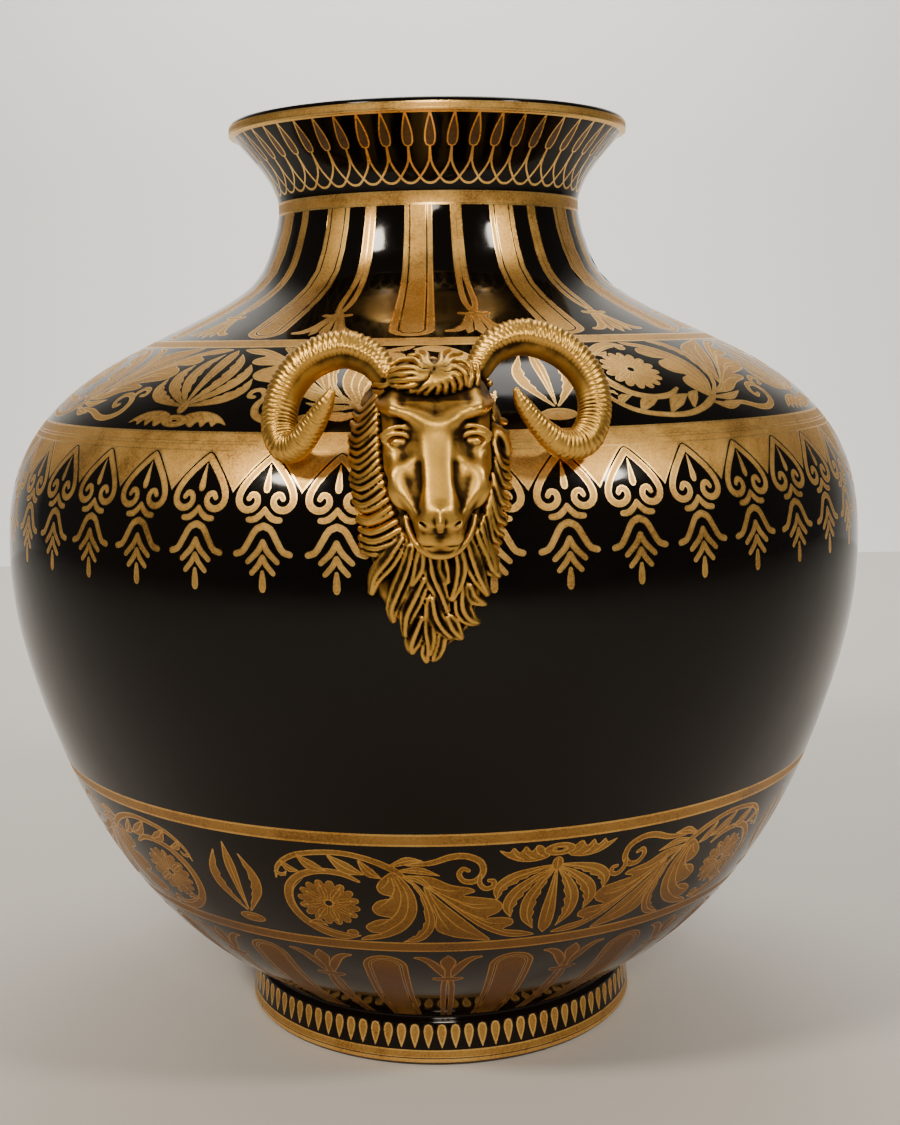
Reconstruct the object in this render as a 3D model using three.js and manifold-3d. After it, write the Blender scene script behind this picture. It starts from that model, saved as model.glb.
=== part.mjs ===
// Tall-bellied porcelain vase with a cast bronze ram's head on its shoulder.
// Units are millimetres, +Z is up, and the origin is the centre of the foot.
// The ram looks along -Y.
import * as THREE from 'three';
import { mergeVertices } from 'three/addons/utils/BufferGeometryUtils.js';
import Module from 'manifold-3d';

const wasm = await Module();
wasm.setup();

// Driving sizes of the vase
const TOTAL_HEIGHT = 407;
const TURNS = 52;
const WALL = 5.6;
const FOOT_RADIUS = 91;
const FOOT_TOP_RADIUS = 89.6;
const FOOT_HEIGHT = 20;
const FOOT_EDGE = 1.5;
const FOOT_RING_WIDTH = 9;
const FOOT_RECESS = 11;
const GROOVE_RADIUS = 87.6;
const GROOVE_HEIGHT = 21.6;
const RIM_RADIUS = 89.2;
const RIM_BAND_LOW = 401.6;
const RIM_BAND_HIGH = 405;
const RIM_INNER_RADIUS = 82.5;
const FLOOR_HEIGHT = 21;
const FLOOR_RADIUS = 66;

// Outline of the belly, shoulder and neck: height and radius at each knot of a fair curve
const OUTLINE = [
  [22, 88.2],
  [42, 114.3],
  [72, 142.2],
  [112, 165.4],
  [152, 180.4],
  [192, 190.2],
  [228, 192.2],
  [256, 187.3],
  [280, 172.9],
  [300, 148.1],
  [318, 112.4],
  [334, 83.5],
  [352, 71.8],
  [374, 68.3],
  [401, 86.8],
];
const OUTLINE_LOW = OUTLINE[0][0];
const OUTLINE_HIGH = OUTLINE.at(-1)[0];
const OUTER_STEPS = 18;

// The cavity: where the wall of even thickness starts and ends, and the floor inside
const INNER_LOW = 44;
const INNER_HIGH = 398;
const INNER_STEPS = 8;
const FLOOR_CORNER_RADIUS = 88;
const FLOOR_CORNER_HEIGHT = 35;

// Driving sizes of the bronze
const CLEARANCE = 0.3;
const EYE_SPREAD = 11.8;
const EYE_HEIGHT = 277.4;
const EYE_DEPTH = -199.4;
const EYE_SIZE = { half: 4.9, depth: 3.2, tall: 2.7 };
const EYE_TURN = 0.12;
const NOSTRIL_SPREAD = 5.4;
const NOSTRIL_HEIGHT = 251.2;
const NOSTRIL_FRONT = -215.2;
const NOSTRIL_SIZE = { half: 2.2, depth: 2.4, tall: 1.5 };
const NOSTRIL_TURN = -0.4;
const HORN_RIBS = 15;
const RIB_DEPTH = 0.09;
const HORN_SIDES = 6;
const LOCK_SIDES = 4;
const LOCK_STEPS = 4;
const LOCK_TIP = 0.16;

// Natural cubic spline through [position, value] knots, as a function of position
function fairCurve(knots) {
  const count = knots.length;
  const bend = new Array(count).fill(0);
  const scratch = new Array(count).fill(0);
  for (let i = 1; i < count - 1; i += 1) {
    const before = knots[i][0] - knots[i - 1][0];
    const after = knots[i + 1][0] - knots[i][0];
    const share = before / (before + after);
    const pivot = share * bend[i - 1] + 2;
    const rise = (knots[i + 1][1] - knots[i][1]) / after - (knots[i][1] - knots[i - 1][1]) / before;
    bend[i] = (share - 1) / pivot;
    scratch[i] = ((6 * rise) / (before + after) - share * scratch[i - 1]) / pivot;
  }
  for (let i = count - 2; i >= 0; i -= 1) {
    bend[i] = bend[i] * bend[i + 1] + scratch[i];
  }
  return (at) => {
    let i = 0;
    while (i < count - 2 && at > knots[i + 1][0]) {
      i += 1;
    }
    const span = knots[i + 1][0] - knots[i][0];
    const low = (knots[i + 1][0] - at) / span;
    const high = 1 - low;
    const curve = (low ** 3 - low) * bend[i] + (high ** 3 - high) * bend[i + 1];
    return low * knots[i][1] + high * knots[i + 1][1] + (curve * span * span) / 6;
  };
}

const outerRadius = fairCurve(OUTLINE);

// Straight line between neighbouring [position, value] knots
function polyline(knots, at) {
  let i = 0;
  while (i < knots.length - 2 && at > knots[i + 1][0]) {
    i += 1;
  }
  const share = (at - knots[i][0]) / (knots[i + 1][0] - knots[i][0]);
  return knots[i][1] + (knots[i + 1][1] - knots[i][1]) * THREE.MathUtils.clamp(share, 0, 1);
}

// Points of the outer surface between two heights, spaced evenly along the curve
function outerPoints(low, high, steps, offset) {
  const samples = 400;
  const dense = [];
  for (let i = 0; i <= samples; i += 1) {
    const z = low + ((high - low) * i) / samples;
    const slope = outerRadius(z + 0.05) - outerRadius(z - 0.05);
    const length = Math.hypot(slope, 0.1);
    dense.push(new THREE.Vector2(
      outerRadius(z) - (offset * 0.1) / length,
      z + (offset * slope) / length,
    ));
  }
  const along = [0];
  for (let i = 1; i <= samples; i += 1) {
    along.push(along[i - 1] + dense[i].distanceTo(dense[i - 1]));
  }
  const points = [];
  for (let k = 0; k <= steps; k += 1) {
    const target = (along[samples] * k) / steps;
    let i = 0;
    while (i < samples - 1 && along[i + 1] < target) {
      i += 1;
    }
    const share = (target - along[i]) / (along[i + 1] - along[i]);
    points.push(dense[i].clone().lerp(dense[i + 1], share));
  }
  return points;
}

function lathe(points) {
  const geometry = new THREE.LatheGeometry(points, TURNS);
  geometry.rotateX(Math.PI / 2);
  return geometry;
}

// The vase: foot ring, belly, neck and flared rim outside, and the hollow inside
function vaseGeometry() {
  const p = (r, z) => new THREE.Vector2(r, z);
  const ringInside = FOOT_RADIUS - FOOT_RING_WIDTH;
  const foot = [
    p(0, FOOT_RECESS),
    p(ringInside - 4, FOOT_RECESS),
    p(ringInside, FOOT_RECESS - 4),
    p(ringInside + FOOT_EDGE, 0),
    p(FOOT_RADIUS - FOOT_EDGE, 0),
    p(FOOT_RADIUS, FOOT_EDGE),
    p(FOOT_TOP_RADIUS, FOOT_HEIGHT - 1),
    p(FOOT_TOP_RADIUS - 1, FOOT_HEIGHT),
    p(GROOVE_RADIUS, GROOVE_HEIGHT),
  ];
  const lipMiddle = (RIM_RADIUS + RIM_INNER_RADIUS) / 2;
  const rim = [
    p(RIM_RADIUS, RIM_BAND_LOW),
    p(RIM_RADIUS, RIM_BAND_HIGH),
    p(RIM_RADIUS - 1.2, TOTAL_HEIGHT - 0.5),
    p(lipMiddle, TOTAL_HEIGHT),
    p(RIM_INNER_RADIUS + 0.8, TOTAL_HEIGHT - 0.7),
  ];
  const inner = outerPoints(INNER_LOW, INNER_HIGH, INNER_STEPS, WALL).reverse();
  const floor = [
    p(FLOOR_CORNER_RADIUS, FLOOR_CORNER_HEIGHT),
    p(FLOOR_RADIUS, FLOOR_HEIGHT + 1.5),
    p(0, FLOOR_HEIGHT),
  ];
  const outer = outerPoints(OUTLINE_LOW, OUTLINE_HIGH, OUTER_STEPS, 0);
  return lathe([...foot, ...outer, ...rim, ...inner, ...floor]);
}

// Closed solid through a stack of rings that all have the same number of points
function loft(rings) {
  const corners = rings[0].length;
  const positions = [];
  const index = [];
  for (const ring of rings) {
    for (const point of ring) {
      positions.push(point.x, point.y, point.z);
    }
  }
  for (let i = 0; i < rings.length - 1; i += 1) {
    for (let k = 0; k < corners; k += 1) {
      const a = i * corners + k;
      const b = i * corners + ((k + 1) % corners);
      index.push(a, b, b + corners, a, b + corners, a + corners);
    }
  }
  const lastRing = (rings.length - 1) * corners;
  for (const [ring, first, outward] of [[rings[0], 0, false], [rings.at(-1), lastRing, true]]) {
    const middle = new THREE.Vector3();
    ring.forEach((point) => middle.addScaledVector(point, 1 / corners));
    const hub = positions.length / 3;
    positions.push(middle.x, middle.y, middle.z);
    for (let k = 0; k < corners; k += 1) {
      const a = first + k;
      const b = first + ((k + 1) % corners);
      index.push(...(outward ? [a, b, hub] : [b, a, hub]));
    }
  }
  const geometry = new THREE.BufferGeometry();
  geometry.setAttribute('position', new THREE.Float32BufferAttribute(positions, 3));
  geometry.setIndex(index);
  return geometry;
}

// Body swept along a curve. facing is the direction that its thickness is measured along.
function sweep(curve, steps, sides, facing, halfWidth, halfThickness) {
  const rings = [];
  for (let i = 0; i <= steps; i += 1) {
    const t = i / steps;
    const centre = curve.getPoint(t);
    const along = curve.getTangent(t);
    const across = new THREE.Vector3().crossVectors(along, facing(t)).normalize();
    const out = new THREE.Vector3().crossVectors(across, along).normalize();
    const ring = [];
    for (let k = 0; k < sides; k += 1) {
      const angle = (-2 * Math.PI * (k + 0.25)) / sides;
      ring.push(centre.clone()
        .addScaledVector(across, Math.cos(angle) * halfWidth(t))
        .addScaledVector(out, Math.sin(angle) * halfThickness(t)));
    }
    rings.push(ring);
  }
  return loft(rings);
}

function toSolid(geometry) {
  const bare = geometry.clone();
  bare.deleteAttribute('normal');
  bare.deleteAttribute('uv');
  const merged = mergeVertices(bare, 1e-4);
  const solid = new wasm.Manifold(new wasm.Mesh({
    numProp: 3,
    vertProperties: new Float32Array(merged.attributes.position.array),
    triVerts: new Uint32Array(merged.index.array),
  }));
  return solid;
}

function fromSolid(solid) {
  const mesh = solid.getMesh();
  const geometry = new THREE.BufferGeometry();
  geometry.setAttribute('position', new THREE.BufferAttribute(mesh.vertProperties, 3));
  geometry.setIndex(new THREE.BufferAttribute(mesh.triVerts, 1));
  return geometry;
}

// The casting is solid: pockets closed in between locks of hair are filled
function outerShell(solid) {
  const shells = solid.decompose();
  return shells.reduce((largest, shell) => (shell.volume() > largest.volume() ? shell : largest));
}

// Forward reach of the vase surface at a height, seen along Y
function surfaceY(x, z) {
  const radius = outerRadius(z);
  return -Math.sqrt(radius * radius - x * x);
}

// Face: at each height the half width, the depth of the nose ridge, half the ridge width,
// how far the hollow beside it falls back, how far the cheek falls back, and how far
// the outer edge is lifted, which gives the brow its V
const FACE = [
  { z: 240.6, half: 5.0, ridge: -206.5, flat: 1.6, hollow: 0.4, cheek: 2.2, lift: 0 },
  { z: 242.6, half: 9.2, ridge: -210.0, flat: 3.4, hollow: 0.8, cheek: 3.2, lift: 0 },
  { z: 246.0, half: 11.6, ridge: -210.8, flat: 4.0, hollow: 1.2, cheek: 4.4, lift: 0 },
  { z: 247.6, half: 11.4, ridge: -213.6, flat: 4.2, hollow: 1.0, cheek: 5.6, lift: 0 },
  { z: 251.5, half: 12.2, ridge: -216.6, flat: 5.6, hollow: 1.8, cheek: 8.6, lift: 0 },
  { z: 256.0, half: 13.8, ridge: -215.6, flat: 4.8, hollow: 4.2, cheek: 9.2, lift: 0 },
  { z: 262.0, half: 16.6, ridge: -212.4, flat: 4.6, hollow: 7.0, cheek: 8.0, lift: 0 },
  { z: 268.5, half: 18.8, ridge: -208.8, flat: 4.6, hollow: 7.2, cheek: 6.2, lift: 0 },
  { z: 273.0, half: 19.2, ridge: -206.4, flat: 4.4, hollow: 6.8, cheek: 7.2, lift: 0 },
  { z: 278.5, half: 18.8, ridge: -203.9, flat: 4.6, hollow: 7.0, cheek: 8.6, lift: 1.0 },
  { z: 283.5, half: 18.8, ridge: -202.3, flat: 5.0, hollow: 4.6, cheek: 6.2, lift: 3.0 },
  { z: 287.0, half: 19.2, ridge: -201.6, flat: 6.5, hollow: 0.4, cheek: 2.0, lift: 4.0 },
  { z: 290.5, half: 19.0, ridge: -198.6, flat: 7.0, hollow: 0.4, cheek: 1.4, lift: 2.4 },
  { z: 297.0, half: 17.6, ridge: -192.0, flat: 7.0, hollow: 0.6, cheek: 2.4, lift: 0 },
  { z: 302.0, half: 15.0, ridge: -186.0, flat: 5.0, hollow: 1.0, cheek: 4.0, lift: 0 },
  { z: 304.6, half: 10.0, ridge: -177.0, flat: 4.0, hollow: 1.0, cheek: 4.0, lift: 0 },
];
const FACE_CENTRE = 1.2;
const FACE_ROOT = 14;
const FACE_SIDE = 9;
const FACE_BACK_TOP = 296;

function faceGeometry() {
  const rings = FACE.map(({ z, half, ridge, flat, hollow, cheek, lift }) => {
    const back = surfaceY(0, Math.min(z, FACE_BACK_TOP)) + FACE_ROOT;
    const side = Math.min(ridge + cheek + FACE_SIDE, back - 1);
    const right = [
      [flat, ridge + 0.5],
      [half * 0.56, ridge + hollow],
      [half * 0.84, ridge + cheek],
      [half, side],
      [half * 0.86, back],
    ];
    const left = right.map(([x, y]) => [-x, y]).reverse();
    return [...right, ...left].map(([x, y]) => {
      const height = z + (lift * Math.abs(x)) / half;
      return new THREE.Vector3(x + FACE_CENTRE, y, height);
    });
  });
  return loft(rings);
}

function eyeGeometry(side) {
  const geometry = new THREE.SphereGeometry(1, 8, 6);
  geometry.scale(EYE_SIZE.half, EYE_SIZE.depth, EYE_SIZE.tall);
  geometry.rotateY(side * EYE_TURN);
  geometry.translate(FACE_CENTRE + side * EYE_SPREAD, EYE_DEPTH, EYE_HEIGHT);
  return geometry;
}

// Nostrils: hollows that are cut into the end of the nose
function nostrilGeometry(side) {
  const geometry = new THREE.SphereGeometry(1, 7, 5);
  geometry.scale(NOSTRIL_SIZE.half, NOSTRIL_SIZE.depth, NOSTRIL_SIZE.tall);
  geometry.rotateY(side * NOSTRIL_TURN);
  geometry.translate(FACE_CENTRE + side * NOSTRIL_SPREAD, NOSTRIL_FRONT, NOSTRIL_HEIGHT);
  return geometry;
}

// Bed of the mane and beard: half width and height above the vase at each level
const BED = [
  { z: 201.0, half: 2.0, rise: 2.4 },
  { z: 207.0, half: 8.0, rise: 4.0 },
  { z: 218.0, half: 15.0, rise: 6.0 },
  { z: 232.0, half: 21.0, rise: 8.0 },
  { z: 246.0, half: 24.5, rise: 9.0 },
  { z: 262.0, half: 26.0, rise: 10.0 },
  { z: 278.0, half: 24.0, rise: 13.0 },
  { z: 292.0, half: 20.0, rise: 21.0 },
  { z: 301.0, half: 15.0, rise: 34.0 },
];
const BED_CENTRE = -0.4;
const BED_CORNERS = 10;
const BED_ROOT = 9;

function bedGeometry() {
  const rings = BED.map(({ z, half, rise }) => {
    const ring = [];
    for (let k = 0; k < BED_CORNERS; k += 1) {
      const angle = (2 * Math.PI * k) / BED_CORNERS;
      const x = half * Math.cos(angle);
      const depth = angle > Math.PI ? rise : BED_ROOT;
      ring.push(new THREE.Vector3(x + BED_CENTRE, surfaceY(x, z) + Math.sin(angle) * depth, z));
    }
    return ring;
  });
  return loft(rings);
}

// One lock of hair: root and tip on the head, given as x, z and depth, with an S bend
function lockGeometry(root, tip, bend, width, thickness) {
  const start = new THREE.Vector3(root[0], root[2], root[1]);
  const end = new THREE.Vector3(tip[0], tip[2], tip[1]);
  const along = end.clone().sub(start);
  const sideways = new THREE.Vector3(along.z, 0, -along.x).multiplyScalar(bend);
  const third = start.clone().addScaledVector(along, 0.35).add(sideways);
  const twoThirds = start.clone().addScaledVector(along, 0.7).addScaledVector(sideways, -0.6);
  third.y -= thickness * 0.5;
  const curve = new THREE.CubicBezierCurve3(start, third, twoThirds, end);
  const facing = () => new THREE.Vector3(start.x * 0.012, -1, 0.1);
  const swell = (t) => LOCK_TIP + (1 - LOCK_TIP) * Math.sin(Math.PI * Math.min(1, 0.22 + t * 0.76)) ** 0.8;
  const across = (t) => width * swell(t);
  const deep = (t) => thickness * swell(t);
  return sweep(curve, LOCK_STEPS, LOCK_SIDES, facing, across, deep);
}

// Depth of the mane's front at a height
const MANE_DEPTH = [
  [200, -193.6],
  [212, -197.5],
  [226, -201],
  [240, -201.5],
  [256, -198.5],
  [272, -194],
  [296, -187],
];

function maneDepth(z) {
  return polyline(MANE_DEPTH, z);
}

// Mane beside the face: the locks leave the cheek and sweep outwards and down
const MANE_LOCKS = 8;
const MANE_TOP = 290;
const MANE_PITCH = 7.2;
const MANE_FALL = 4;
const MANE_FALL_GROWTH = 1.4;
const MANE_BEND = 0.2;
const MANE_WIDTH = 3.4;
const MANE_THICKNESS = 2.6;
const FACE_EDGE = [[240, 10], [250, 13], [262, 17.5], [274, 19.5], [292, 18.5]];
const MANE_EDGE = [[220, 20], [230, 23], [246, 26.5], [264, 28.5], [276, 27], [292, 21]];

function maneLocks(side) {
  const locks = [];
  for (let i = 0; i < MANE_LOCKS; i += 1) {
    const rootZ = MANE_TOP - i * MANE_PITCH;
    const fall = MANE_FALL + i * MANE_FALL_GROWTH;
    const tipZ = rootZ - fall;
    const rootX = polyline(FACE_EDGE, rootZ) - 1.5;
    const tipX = polyline(MANE_EDGE, tipZ);
    const root = [FACE_CENTRE + side * rootX, rootZ, maneDepth(rootZ) + 1.5];
    const tip = [side * tipX - 0.5, tipZ, surfaceY(tipX, tipZ) - 2.2];
    locks.push(lockGeometry(root, tip, -side * MANE_BEND, MANE_WIDTH, MANE_THICKNESS));
  }
  return locks;
}

// Beard: the locks leave the jaw and end along a V that points down
const BEARD = [
  { root: [-14, 250], tip: [-21.5, 225], bend: 0.14 },
  { root: [-11, 245], tip: [-14.5, 215.5], bend: 0.16 },
  { root: [-7.5, 242], tip: [-9, 204.5], bend: 0.16 },
  { root: [-3, 240], tip: [-3, 200.4], bend: 0.12 },
  { root: [1.5, 240], tip: [2.5, 204.5], bend: 0.14 },
  { root: [6, 241], tip: [10, 209], bend: -0.16 },
  { root: [10, 243], tip: [15, 213.5], bend: -0.18 },
  { root: [13.5, 247], tip: [18.5, 223], bend: -0.18 },
  { root: [15.5, 252], tip: [22, 232], bend: -0.16 },
];
const BEARD_WIDTH = 3.5;
const BEARD_THICKNESS = 3.0;

function beardLocks() {
  return BEARD.map(({ root, tip, bend }) => {
    const from = [root[0] + FACE_CENTRE, root[1], maneDepth(root[1]) + 1];
    const to = [tip[0], tip[1], surfaceY(tip[0], tip[1]) - 2.4];
    return lockGeometry(from, to, bend, BEARD_WIDTH, BEARD_THICKNESS);
  });
}

// Forelock: a whorl whose locks fall to both sides over the brow
const WHORL = { x: 1, z: 301, y: -193 };
const WHORL_LOCKS = 10;
const WHORL_REACH = 14.5;
const WHORL_RISE = 4.8;
const WHORL_FALL = 9.6;
const WHORL_BEND = 0.2;
const WHORL_WIDTH = 3.6;
const WHORL_THICKNESS = 3.2;
const FRINGE_FORWARD = 0.55;
const FRINGE_SIDE_BACK = 0.12;
const CROWN_BACK = 1.6;

function forelockGeometries() {
  const locks = [];
  for (let i = 0; i < WHORL_LOCKS; i += 1) {
    const angle = (2 * Math.PI * (i + 0.5)) / WHORL_LOCKS;
    const reachX = WHORL_REACH * Math.cos(angle);
    const reachZ = Math.sin(angle) * (Math.sin(angle) > 0 ? WHORL_RISE : WHORL_FALL);
    const fringe = reachZ * FRINGE_FORWARD + Math.abs(reachX) * FRINGE_SIDE_BACK;
    const tipY = WHORL.y + (reachZ < 0 ? fringe : reachZ * CROWN_BACK);
    const root = [WHORL.x + reachX * 0.1, WHORL.z + reachZ * 0.1, WHORL.y];
    const tip = [WHORL.x + reachX, WHORL.z + reachZ, tipY];
    const bend = WHORL_BEND * Math.sign(Math.cos(angle));
    locks.push(lockGeometry(root, tip, bend, WHORL_WIDTH, WHORL_THICKNESS));
  }
  return locks;
}

// Path of each horn's middle from root to tip: x, y, z and half the width seen from the front
const HORN_RIGHT = [
  [12, -176, 294, 4.6],
  [16.8, -176, 301, 5.4],
  [22.5, -173, 308.2, 6.5],
  [33, -170, 311.3, 7.0],
  [46, -168, 307.0, 7.0],
  [55, -169, 297, 6.4],
  [57, -173, 285.5, 6.0],
  [53, -179, 276.8, 5.9],
  [45, -184, 275.6, 4.9],
  [37.4, -188, 281.5, 3.7],
  [31, -191, 290, 2.6],
  [28.6, -192, 295.0, 1.1],
];
const HORN_LEFT = [
  [-11, -176, 292, 4.6],
  [-16.5, -176, 299, 5.6],
  [-22, -173, 305, 6.8],
  [-31.5, -170, 308, 7.3],
  [-43.5, -168, 303.6, 7.2],
  [-51.2, -169, 294, 6.7],
  [-53.6, -173, 282.5, 6.3],
  [-51, -179, 275.8, 5.6],
  [-45.6, -184, 277.8, 4.9],
  [-40.2, -188, 284.6, 4.0],
  [-36, -191, 291, 2.8],
  [-33.6, -192, 295.4, 1.3],
];
const HORN_DEPTH_SHARE = 0.82;

function hornGeometry(path) {
  const points = path.map(([x, y, z]) => new THREE.Vector3(x, y, z));
  const curve = new THREE.CatmullRomCurve3(points, false, 'centripetal');
  const widths = path.map((row, i) => [i / (path.length - 1), row[3]]);
  const half = fairCurve(widths);
  const steps = 2 * HORN_RIBS;
  const rib = (t) => 1 + (Math.round(t * steps) % 2 ? RIB_DEPTH : -RIB_DEPTH) * Math.min(1, t * 12);
  const facing = () => new THREE.Vector3(0, -1, 0);
  const width = (t) => half(t) * rib(t);
  const depth = (t) => width(t) * HORN_DEPTH_SHARE;
  return sweep(curve, steps, HORN_SIDES, facing, width, depth);
}

// Vase shape that the bronze keeps clear of
function clearanceSolid() {
  const points = outerPoints(60, 380, 40, -CLEARANCE);
  const closed = [new THREE.Vector2(0, points[0].y), ...points, new THREE.Vector2(0, points.at(-1).y)];
  return toSolid(lathe(closed));
}

function ramGeometry() {
  const pieces = [
    faceGeometry(),
    bedGeometry(),
    eyeGeometry(1),
    eyeGeometry(-1),
    ...maneLocks(1),
    ...maneLocks(-1),
    ...beardLocks(),
    ...forelockGeometries(),
    hornGeometry(HORN_RIGHT),
    hornGeometry(HORN_LEFT),
  ];
  let whole = toSolid(pieces[0]);
  for (const piece of pieces.slice(1)) {
    whole = whole.add(toSolid(piece));
  }
  const nostrils = toSolid(nostrilGeometry(1)).add(toSolid(nostrilGeometry(-1)));
  return fromSolid(outerShell(whole.subtract(nostrils).subtract(clearanceSolid())));
}

const porcelain = new THREE.MeshStandardMaterial({ color: 0x0d0b0a, roughness: 0.08, metalness: 0.0 });
const bronze = new THREE.MeshStandardMaterial({ color: 0x8a6a34, roughness: 0.38, metalness: 1.0 });

const vase = new THREE.Group();
vase.name = 'rams_head_vase';

const body = new THREE.Mesh(vaseGeometry(), porcelain);
body.name = 'vase_body';
vase.add(body);

const ram = new THREE.Mesh(ramGeometry(), bronze);
ram.name = 'rams_head_mount';
vase.add(ram);

export default vase;
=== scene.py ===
"""Black glazed porcelain vase with gilt ornament and a cast bronze ram's head."""
import math

import bpy
import numpy as np
from mathutils import Matrix, Vector
from mathutils.geometry import delaunay_2d_cdt
from mathutils.kdtree import KDTree


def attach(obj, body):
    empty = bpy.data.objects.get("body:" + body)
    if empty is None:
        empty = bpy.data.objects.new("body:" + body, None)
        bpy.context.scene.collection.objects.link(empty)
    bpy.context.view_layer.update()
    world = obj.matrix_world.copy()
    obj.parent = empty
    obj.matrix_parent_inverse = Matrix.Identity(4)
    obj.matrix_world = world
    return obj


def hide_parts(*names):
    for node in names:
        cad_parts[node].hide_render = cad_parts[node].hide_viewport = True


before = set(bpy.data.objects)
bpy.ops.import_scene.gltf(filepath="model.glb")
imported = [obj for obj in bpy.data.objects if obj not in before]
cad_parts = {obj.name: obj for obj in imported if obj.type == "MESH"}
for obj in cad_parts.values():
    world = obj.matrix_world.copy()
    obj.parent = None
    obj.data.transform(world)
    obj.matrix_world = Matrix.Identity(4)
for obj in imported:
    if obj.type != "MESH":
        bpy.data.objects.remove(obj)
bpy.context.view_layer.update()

MM = 0.001
RANDOM = np.random.RandomState(7)


# Outline of the vase, in millimetres

OUTLINE = (
    (22, 88.2), (42, 114.3), (72, 142.2), (112, 165.4), (152, 180.4),
    (192, 190.2), (228, 192.2), (256, 187.3), (280, 172.9), (300, 148.1),
    (318, 112.4), (334, 83.5), (352, 71.8), (374, 68.3), (401, 86.8),
)


def natural_spline(knots):
    """Natural cubic spline through (position, value) knots, for arrays of positions."""
    at = np.array([k[0] for k in knots], float)
    value = np.array([k[1] for k in knots], float)
    gap = np.diff(at)
    count = len(at)
    system = np.eye(count)
    right = np.zeros(count)
    for i in range(1, count - 1):
        system[i, i - 1:i + 2] = gap[i - 1], 2 * (gap[i - 1] + gap[i]), gap[i]
        right[i] = 6 * ((value[i + 1] - value[i]) / gap[i] - (value[i] - value[i - 1]) / gap[i - 1])
    bend = np.linalg.solve(system, right)

    def curve(position):
        position = np.asarray(position, float)
        i = np.clip(np.searchsorted(at, position) - 1, 0, count - 2)
        low = (at[i + 1] - position) / gap[i]
        high = 1 - low
        sag = ((low ** 3 - low) * bend[i] + (high ** 3 - high) * bend[i + 1]) * gap[i] ** 2 / 6
        return low * value[i] + high * value[i + 1] + sag

    return curve


outer_radius = natural_spline(OUTLINE)


def surface_y(x, z):
    """Y of the front of the vase at a place seen from the front."""
    return -np.sqrt(np.maximum(outer_radius(z) ** 2 - np.asarray(x, float) ** 2, 0))


# Meshes

def new_object(name, vertices, faces, materials, smooth=True):
    mesh = bpy.data.meshes.new(name)
    mesh.from_pydata((np.asarray(vertices) * MM).tolist(), [], [list(f) for f in faces])
    mesh.polygons.foreach_set("use_smooth", [smooth] * len(mesh.polygons))
    for material in materials:
        mesh.materials.append(material)
    thing = bpy.data.objects.new(name, mesh)
    bpy.context.scene.collection.objects.link(thing)
    return thing


def apply_modifiers(thing):
    depsgraph = bpy.context.evaluated_depsgraph_get()
    mesh = bpy.data.meshes.new_from_object(thing.evaluated_get(depsgraph))
    thing.modifiers.clear()
    old = thing.data
    thing.data = mesh
    bpy.data.meshes.remove(old)


def between(a, b, c, d, f):
    """Catmull-Rom formula: the place at a share f of the way from b to c."""
    second = 2 * a - 5 * b + 4 * c - d
    third = 3 * b - a - 3 * c + d
    return 0.5 * (2 * b + (c - a) * f + second * f ** 2 + third * f ** 3)


def smooth_curve(points, steps):
    """Catmull-Rom curve through the points, with the given number of steps in all."""
    points = np.asarray(points, float)
    padded = np.vstack([2 * points[0] - points[1], points, 2 * points[-1] - points[-2]])
    t = np.linspace(0, len(points) - 1, steps + 1)
    i = np.minimum(t.astype(int), len(points) - 2)
    f = (t - i)[:, None]
    return between(padded[i], padded[i + 1], padded[i + 2], padded[i + 3], f)


# Painted ornament, drawn flat: x runs along the wall and y up it, in millimetres

BLACK, FILL, LINE, UMBER, BARE = range(5)
EDGE = 0.48
THIN = 0.26


def stroke(points, half, inset=0.0, pace=1.6, teeth=0, tooth_side=1):
    """Outline of a brush stroke along a smooth path, with its own half width at each point."""
    points = np.asarray(points, float)
    half = np.zeros(len(points)) + half
    length = np.linalg.norm(np.diff(points, axis=0), axis=1).sum()
    path = smooth_curve(np.column_stack([points, half]), max(int(length / pace), 3))
    width = path[:, 2] - inset
    saw = 1 - 0.42 * ((np.linspace(0, 1, len(path)) * teeth) % 1) if teeth else np.ones(len(path))
    used = np.nonzero(width > 0.05)[0]
    part = slice(used[0], used[-1] + 1)
    path, width, saw = path[part], width[part], saw[part]
    along = np.gradient(path[:, :2], axis=0)
    along /= np.linalg.norm(along, axis=1)[:, None]
    side = np.stack([-along[:, 1], along[:, 0]], 1)
    left = path[:, :2] + side * (width * (saw if tooth_side > 0 else 1))[:, None]
    right = path[:, :2] - side * (width * (saw if tooth_side < 0 else 1))[:, None]

    def cap(end, way):
        if width[end] < 0.3:
            return np.empty((0, 2))
        turn = np.radians((45, 90, 135))[:, None]
        return path[end, :2] + way * width[end] * (side[end] * np.cos(turn) + along[end] * np.sin(turn))

    return np.vstack([left, cap(-1, 1), right[::-1], cap(0, -1)])


def blob(points, inset=0.0, pace=1.6):
    """Closed smooth outline through the points, drawn in by inset."""
    points = np.asarray(points, float)
    around = np.vstack([points[-1:], points, points[:2]])
    length = np.linalg.norm(np.diff(np.vstack([points, points[:1]]), axis=0), axis=1).sum()
    steps = max(int(length / pace), len(points) * 2)
    t = np.arange(steps) / steps * len(points)
    i = t.astype(int)
    f = (t - i)[:, None]
    after = around[np.minimum(i + 3, len(around) - 1)]
    ring = between(around[i], around[i + 1], around[i + 2], after, f)
    if inset:
        along = np.roll(ring, -1, 0) - np.roll(ring, 1, 0)
        along /= np.maximum(np.linalg.norm(along, axis=1), 1e-6)[:, None]
        area = np.sum(ring[:, 0] * np.roll(ring[:, 1], -1) - np.roll(ring[:, 0], -1) * ring[:, 1])
        ring = ring + math.copysign(inset, area) * np.stack([-along[:, 1], along[:, 0]], 1)
    return ring


def oval(x, y, across, up, count=16):
    turn = np.linspace(0, 2 * math.pi, count, endpoint=False)
    return np.stack([x + across * np.cos(turn), y + up * np.sin(turn)], 1)


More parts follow.
